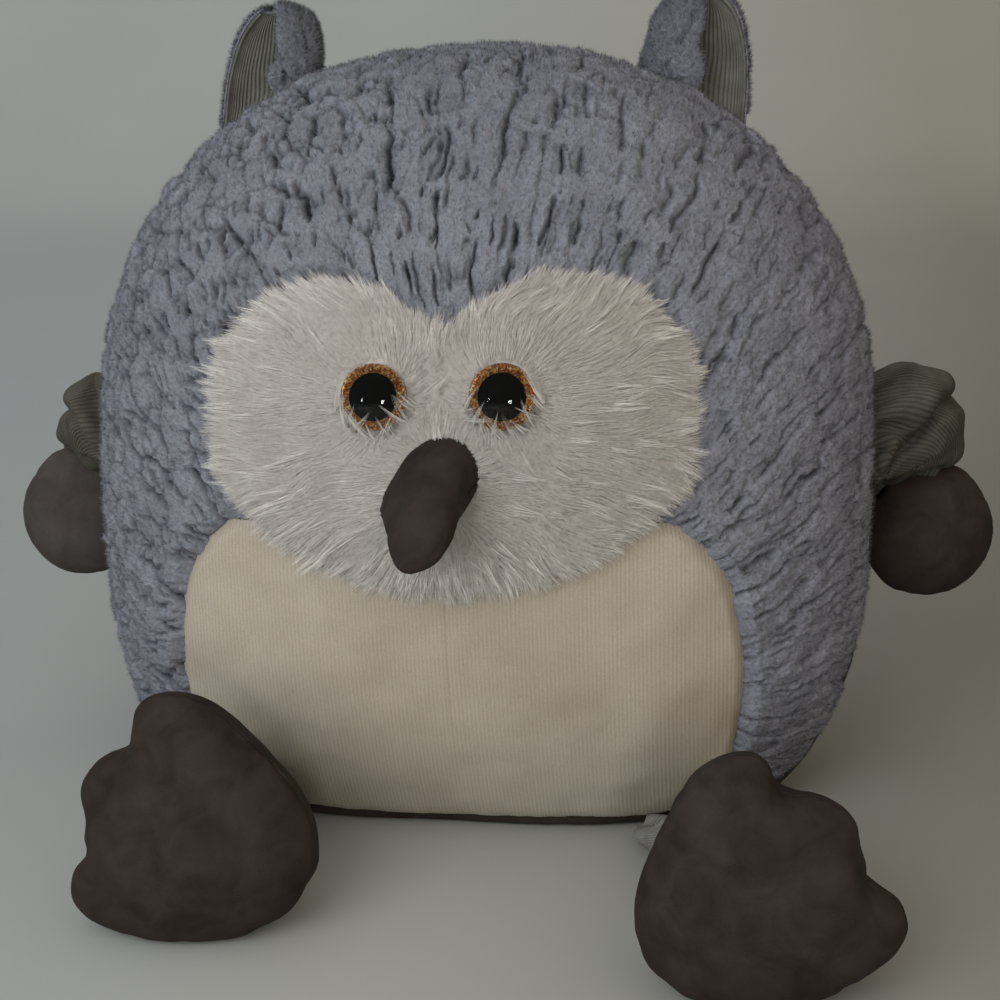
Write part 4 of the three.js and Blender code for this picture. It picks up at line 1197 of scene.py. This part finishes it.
HAND = np.array([204.0, 36, -36])
HAND_RADIUS, HAND_DEEP = 32.6, 17
HAND_SHIFT_LEFT, HAND_SHIFT_RIGHT = (-2.0, 0, -2.0), (0.5, 0, 2.0)
WRIST_TILT = math.radians(18)


def sleeve_pieces(limb, ends, row, spine, ridge, look):
    """A sleeve in two halves, and the number of the middle row."""
    half = len(row) // 2
    pieces = []
    for end, rows in zip(ends, (slice(0, half + 1), slice(half, None))):
        ob = grid_piece(f"{limb}_sleeve_{end}", row[rows], True, look, centre=spine.mean(axis=0),
                        height=ridge[rows])
        pieces.append(ob)
    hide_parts(f"{limb}_sleeve")
    return pieces, half


def arms():
    for side, sign in SIDES:
        mirror = np.array([sign, 1, 1])
        up = np.array([-math.sin(WRIST_TILT), 0, math.cos(WRIST_TILT)])
        wrist = HAND + up * 25
        out = -3 if sign > 0 else -11
        slim = 1 if sign > 0 else 0.8
        end = wrist - (2, 0, 0)
        points = [[171, SEWN_Y, 9], [188 + out, 5, 11], [200 + out, 19, 7], end, end - up * 5]
        sizes = [[25, 1.2], [23 * slim, 8], [18 * slim, 11], [18, 10], [17.5, 9]]
        deep = 5.5 if sign > 0 else 3.0
        creases = [(0.32, 0.18, 0.0, deep), (0.66, 0.1, math.radians(60), 0.6 * deep)]
        grid, spine, ridge = sleeve(points, sizes, (0, 0, 1), (1, 0, 0.4), seed=111 if sign > 0 else 121,
                                    spare=0.28, cap=8.0, creases=creases)
        row, spine = to_row(grid * mirror), to_row(spine * mirror)
        (top, cuff), half = sleeve_pieces(f"arm_{side}", ("top", "cuff"), row, spine, ridge, grey_cord)
        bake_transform(top)
        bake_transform(cuff)

        # Hand: a round padded mitt with soft lobes and a seam round its edge
        def radius(angle):
            lobes = 1.2 * np.cos(3 * (angle + 0.6)) + 0.6 * np.cos(5 * angle)
            cut = smooth(0.55, 1.0, np.cos(angle - math.pi / 2 - WRIST_TILT))
            inner = smooth(0.3, 1.0, -np.cos(angle))
            return HAND_RADIUS + 0.5 * lobes * (1 - cut) - (4.5 if sign > 0 else 0) * cut - 6 * inner

        middle = HAND + (HAND_SHIFT_LEFT if sign > 0 else HAND_SHIFT_RIGHT)
        # The owl's right hand gets the lighter copy of the velour, painted light
        pad(f"hand_{side}_pad", radius, HAND_DEEP, HAND_DEEP, lambda p: to_row((p + middle) * mirror),
            f"hand_{side}", [f"hand_{side}_{k}" for k in ("front", "back", "stuffing")],
            seed=131 if sign > 0 else 141, look=velour if sign > 0 else painted_lighter_velour)


SEAM_FORWARD = 0.035


def pad(name, radius, front, back, place, body, nodes, seed, floor=None, look=velour):
    """A padded piece in one mesh, with a seam drawn in round its rim.

    Its outline's notches show at the rim and fade towards the middle.
    """
    coarse_cols, coarse_rows = 80, 37
    a = turns(coarse_cols)
    r_rim = radius(a)
    spread = np.fft.rfft(r_rim)
    spread[4:] = 0
    r_soft = np.fft.irfft(spread, coarse_cols)
    phi = np.linspace(0.02, math.pi - 0.02, coarse_rows)[:, None]
    share = np.sin(phi) ** (2 / SWELL)
    mix = share ** 7
    r = share * (r_soft * (1 - mix) + r_rim * mix)
    c = np.cos(phi)
    y = np.where(c > 0, -front, back) * np.abs(c) ** RIM + 0 * r
    flat = np.stack([r * np.cos(a), y, r * np.sin(a)], -1)
    middle = coarse_rows // 2
    blown = stuffed(flat, [middle - 1, middle, middle + 1], spare=0.02, pressure=1.6, cap=1.2, bend=6.0)

    cols, rows = 300, 145
    grid = finer(blown, rows, cols, True)
    n = outward(grid, True, (0, 0, 0))
    rim = np.abs(np.linspace(-1, 1, rows) + SEAM_FORWARD)[:, None] * math.pi / 2 * r_rim.mean() * 0.9
    a = turns(cols)
    ring = circle(a)[None] * 45 + np.stack([0 * rim, 0 * rim, rim], -1)
    lift = 0.3 * noise(grid, 34, seed) + 0.1 * noise(grid, 9, seed + 1)
    lift = lift - 1.3 * np.exp(-(rim / 1.2) ** 2)
    lift = lift + 0.4 * np.exp(-rim / 6) * noise(ring * np.array([1, 1, 0.25]), 5, seed + 2)
    grid = grid + n * lift[..., None]
    caps = np.concatenate([np.broadcast_to(grid[0].mean(axis=0), (1, cols, 3)), grid,
                           np.broadcast_to(grid[-1].mean(axis=0), (1, cols, 3))])
    row = place(caps)
    if floor is not None:
        row = settled(row, floor)
    ob = grid_piece(name, row, True, look, centre=place(np.zeros(3)))
    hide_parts(*nodes)
    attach(ob, body)


# Feet and legs, in the torso's world frame, which the row frame has shifted
WORLD_SHIFT = np.array([0, SEAT_Y, -0.5])
FOOT_PITCH = math.radians(12)
FOOT_FRONT, FOOT_BACK, FOOT_SINK, FOOT_SCALE = 22, 34, 5, 1.04
FOOT_PLACE = {"left": (124, -186), "right": (-92, -160)}
FOOT_TURN = {"left": math.radians(21), "right": 0.0}
FOOT_FIT = {"left": 0.95, "right": 1.02}
FOOT_SHIFT = {"left": (0, 0, 0), "right": (-1.5, 0, 2.5)}
HIP = np.array([100, -73.4, 7])
FOOT_OUTLINE = [
    [22, 40], [18.5, 45.5], [12, 48], [3.5, 48], [-5, 45.5], [-13, 40], [-19.5, 34], [-28, 26],
    [-37, 16], [-42.5, 7.5], [-45.5, -1], [-46.5, -11], [-45.5, -17.5], [-41.5, -24.5], [-37, -32],
    [-31, -36.5], [-25.5, -39.5], [-18, -44], [-10, -46.5], [0, -48], [10.5, -48], [21, -46.5],
    [32.5, -43.5], [42.5, -39], [48, -33], [49, -27.5], [48, -21], [44.5, -17], [40.5, -11],
    [42, -7.5], [42.5, 0.5], [44, 9], [42.5, 15], [38.5, 20.5], [33.5, 24.5], [27, 27], [22.5, 31],
]


def feet():
    for side, sign in SIDES:
        turn = FOOT_TURN[side]
        c, s = math.cos(turn), math.sin(turn)
        line = np.array([
            [FOOT_SCALE * sign * (x * c - z * s), FOOT_SCALE * (x * s + z * c)] for x, z in FOOT_OUTLINE
        ])
        height = -line[:, 1].min() * math.cos(FOOT_PITCH) - FOOT_SINK
        line *= FOOT_FIT[side]
        curve = catmull(line, 400, True)
        order = np.argsort(np.arctan2(curve[:, 1], curve[:, 0]))
        angles, radii = np.arctan2(curve[:, 1], curve[:, 0])[order], np.hypot(*curve.T)[order]

        def radius(a):
            return np.interp((a + math.pi) % TURN - math.pi, angles, radii, period=TURN)

        x0, y0 = FOOT_PLACE[side]
        cp, sp = math.cos(FOOT_PITCH), math.sin(FOOT_PITCH)

        def place(p):
            y = p[..., 1] * cp + p[..., 2] * sp + y0
            z = -p[..., 1] * sp + p[..., 2] * cp + height
            return np.stack([p[..., 0] + x0, y, z], -1) + WORLD_SHIFT

        pad(f"foot_{side}_pad", radius, FOOT_FRONT, FOOT_BACK, lambda p: place(p) + FOOT_SHIFT[side],
            f"foot_{side}", [f"foot_{side}_{k}" for k in ("sole", "upper", "stuffing")],
            seed=151 if sign > 0 else 161, floor=0.2)

        ankle = place(np.array([0.0, FOOT_BACK - 9, 0])) - WORLD_SHIFT
        root = HIP * np.array([sign, 1, 1])
        out = np.array([0, cp, -sp])
        near = ankle + out * 24
        low = root + (near - root) * 0.6 - (0, 0, 1)
        points = [root, root + (0, -13, 2), low, near, ankle + out * 5]
        sizes = [[20, 1.2], [22, 9], [22, 13.5], [20, 15.5], [20, 17]]
        grid, spine, ridge = sleeve(points, sizes, (1, 0, 0), (1, 0, 0), seed=171 if sign > 0 else 181,
                                    spare=0.2, cap=5.0)
        row, spine = settled(grid + WORLD_SHIFT, ABOVE_FLOOR), spine + WORLD_SHIFT
        # The legs take the lighter copy of the corduroy, painted light
        (top, end), half = sleeve_pieces(f"leg_{side}", ("top", "end"), row, spine, ridge, leg_cord_painted_lighter)
        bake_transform(top)
        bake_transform(end)


plush_front()
belly()
back_panel()
face()
beak()
eyes()
ears()
arms()
feet()

for side, _ in SIDES:
    for part in ("post", "washer"):
        mesh = frame["nodes"][f"eye_{side}_{part}"]
        mesh.material_slots[0].link = "OBJECT"
        mesh.material_slots[0].material = post_look


# Floor, light and camera
def between_marks(tree, value, low, high):
    """A value turned into how far it has come from low, 0, to high, 1."""
    node = set_up(tree, "ShaderNodeMapRange", Value=value, From_Min=low, From_Max=high)
    return node.outputs["Result"]


def either(tree, share, first, second):
    """One light or another, by a share from 0 to 1."""
    mix = tree.nodes.new("ShaderNodeMixShader")
    for place, value in enumerate((share, first, second)):
        tree.links.new(value, mix.inputs[place])
    return mix.outputs[0]


def floor():
    """A pale sweep: level under the owl and curving up far behind it. Its colour is painted light: lighter
    and cooler on the left, darker and warmer on the right and nearest the owl, for the light's falloff and
    the owl's shade.
    """
    half, near, far, rise, bend, steps = 9.0, -9.0, 1.6, 6.0, 1.2, 16
    profile = [(near, 0.0), (far, 0.0)]
    for k in range(1, steps + 1):
        t = math.pi / 2 * k / steps
        profile.append((far + bend * math.sin(t), bend - bend * math.cos(t)))
    profile.append((far + bend, rise))
    points = [(x, y, z) for y, z in profile for x in (-half, half)]
    faces = [(2 * k, 2 * k + 1, 2 * k + 3, 2 * k + 2) for k in range(len(profile) - 1)]
    mesh = bpy.data.meshes.new("floor")
    mesh.from_pydata(points, [], faces)
    mesh.shade_smooth()
    ob = placed("floor", mesh)
    m, tree, shader = material("pale_floor_painted_falloff")
    where = object_place(tree)
    split = set_up(tree, "ShaderNodeSeparateXYZ", Vector=where)
    across = between_marks(tree, split.outputs["X"], -0.7, 0.8)
    near_row, far_row = (
        ramp(tree, across, list(zip(FLOOR_STOPS, row))) for row in (FLOOR_NEAR_PAINTED_LIGHT, FLOOR_FAR_PAINTED_LIGHT)
    )
    behind = between_marks(tree, split.outputs["Y"], 0.2, 2.0)
    both = mixed(tree, near_row, far_row, behind)
    broad = noise_node(tree, where, 300, 2.0)
    vary = ramp(tree, broad, [(0.3, (0.96, 0.96, 0.96)), (0.7, (1, 1, 1))])
    fill_in(tree, shader, Base_Color=multiplied(tree, both, vary), Roughness=0.9, Specular_IOR_Level=0.1)
    mesh.materials.append(m)


def towards(azimuth, elevation):
    """The direction from the owl to a place at these angles, in degrees. Straight in front is 0, 0."""
    a, e = math.radians(azimuth), math.radians(elevation)
    return np.array([math.sin(a) * math.cos(e), -math.cos(a) * math.cos(e), math.sin(e)])


def lamp(name, azimuth, elevation, distance, size, power, colour, glints=True):
    data = bpy.data.lights.new(name, "AREA")
    data.shape = "RECTANGLE"
    data.size, data.size_y = size
    data.energy = power
    data.color = colour
    ob = placed(name, data)
    back = Vector(towards(azimuth, elevation))
    ob.location = Vector((0, 0.03, 0.16)) + back * distance
    ob.rotation_mode = "QUATERNION"
    ob.rotation_quaternion = back.to_track_quat("Z", "Y")
    ob.visible_glossy = ob.visible_transmission = glints


def world():
    """Even light, cooler from the left. Gloss sees it dimmer, and the camera sees a plain pale sky."""
    w = bpy.data.worlds.new("room")
    bpy.context.scene.world = w
    w.use_nodes = True
    tree = w.node_tree
    tree.nodes.clear()
    out = tree.nodes.new("ShaderNodeOutputWorld")
    path = tree.nodes.new("ShaderNodeLightPath")
    place = tree.nodes.new("ShaderNodeTexCoord").outputs["Generated"]
    split = set_up(tree, "ShaderNodeSeparateXYZ", Vector=place)
    across = between_marks(tree, split.outputs["X"], -1, 1)
    sides = ramp(tree, across, [(0.0, ROOM_LEFT), (1.0, ROOM_RIGHT)])
    light, dim, sky = (
        set_up(tree, "ShaderNodeBackground", Color=colour, Strength=strength).outputs[0]
        for colour, strength in ((sides, 1.0), (sides, 0.12), ((*SKY, 1), 1.0))
    )
    room = either(tree, path.outputs["Is Glossy Ray"], light, dim)
    tree.links.new(either(tree, path.outputs["Is Camera Ray"], room, sky), out.inputs["Surface"])


# Floor colours across, near and far: painted light, from lighter and cooler on the left to darker and warmer
# on the right
FLOOR_STOPS = (0.1, 0.45, 0.75)
FLOOR_NEAR_PAINTED_LIGHT = ((0.30, 0.34, 0.36), (0.315, 0.322, 0.303), (0.14, 0.129, 0.105))
FLOOR_FAR_PAINTED_LIGHT = ((0.385, 0.412, 0.42), (0.37, 0.377, 0.358), (0.305, 0.307, 0.27))
SKY = (0.42, 0.42, 0.40)
ROOM_LEFT, ROOM_RIGHT = (0.97, 1.04, 1.12), (0.79, 0.65, 0.47)
AZIMUTH, ELEVATION, DISTANCE = 9.5, 16, 750
FOCAL_PX, SIZE_PX, SENSOR = 1630.4, 1000, 36
AIM_PX, ROLL = (478, 447), math.radians(-2.5)


def camera():
    centre = np.array([0, SEAT_Y, SEAT_Z])
    back = towards(AZIMUTH, ELEVATION)
    place = centre + back * DISTANCE
    ahead = -back
    right = unit(np.cross(ahead, [0, 0, 1]))
    up = np.cross(right, ahead)
    right, up = right * math.cos(ROLL) + up * math.sin(ROLL), -right * math.sin(ROLL) + up * math.cos(ROLL)
    for _ in range(20):
        d = centre - place
        u = SIZE_PX / 2 + FOCAL_PX * (d @ right) / (d @ ahead)
        v = SIZE_PX / 2 - FOCAL_PX * (d @ up) / (d @ ahead)
        ahead = unit(ahead + right * (u - AIM_PX[0]) / FOCAL_PX - up * (v - AIM_PX[1]) / FOCAL_PX)
        right = unit(right - ahead * (right @ ahead))
        up = np.cross(right, ahead)
    data = bpy.data.cameras.new("camera")
    data.sensor_width = SENSOR
    data.lens = SENSOR * FOCAL_PX / SIZE_PX
    data.clip_start, data.clip_end = 0.01, 100
    ob = placed("camera", data)
    turn = Matrix((right, up, -ahead)).transposed()
    ob.matrix_world = Matrix.Translation(Vector(place * MM)) @ turn.to_4x4()
    bpy.context.scene.camera = ob


floor()
world()
lamp("window", -24, 28, 1.7, (1.2, 1.2), 14, (0.98, 0.99, 1.0), glints=False)
lamp("near_pane", 12, 4, 1.6, (0.2, 0.2), 3.0, (1, 0.99, 0.97))
lamp("far_strip", -28, 6, 1.6, (0.04, 0.16), 0.8, (0.98, 0.99, 1))
camera()
bpy.context.scene.view_settings.view_transform = "Standard"
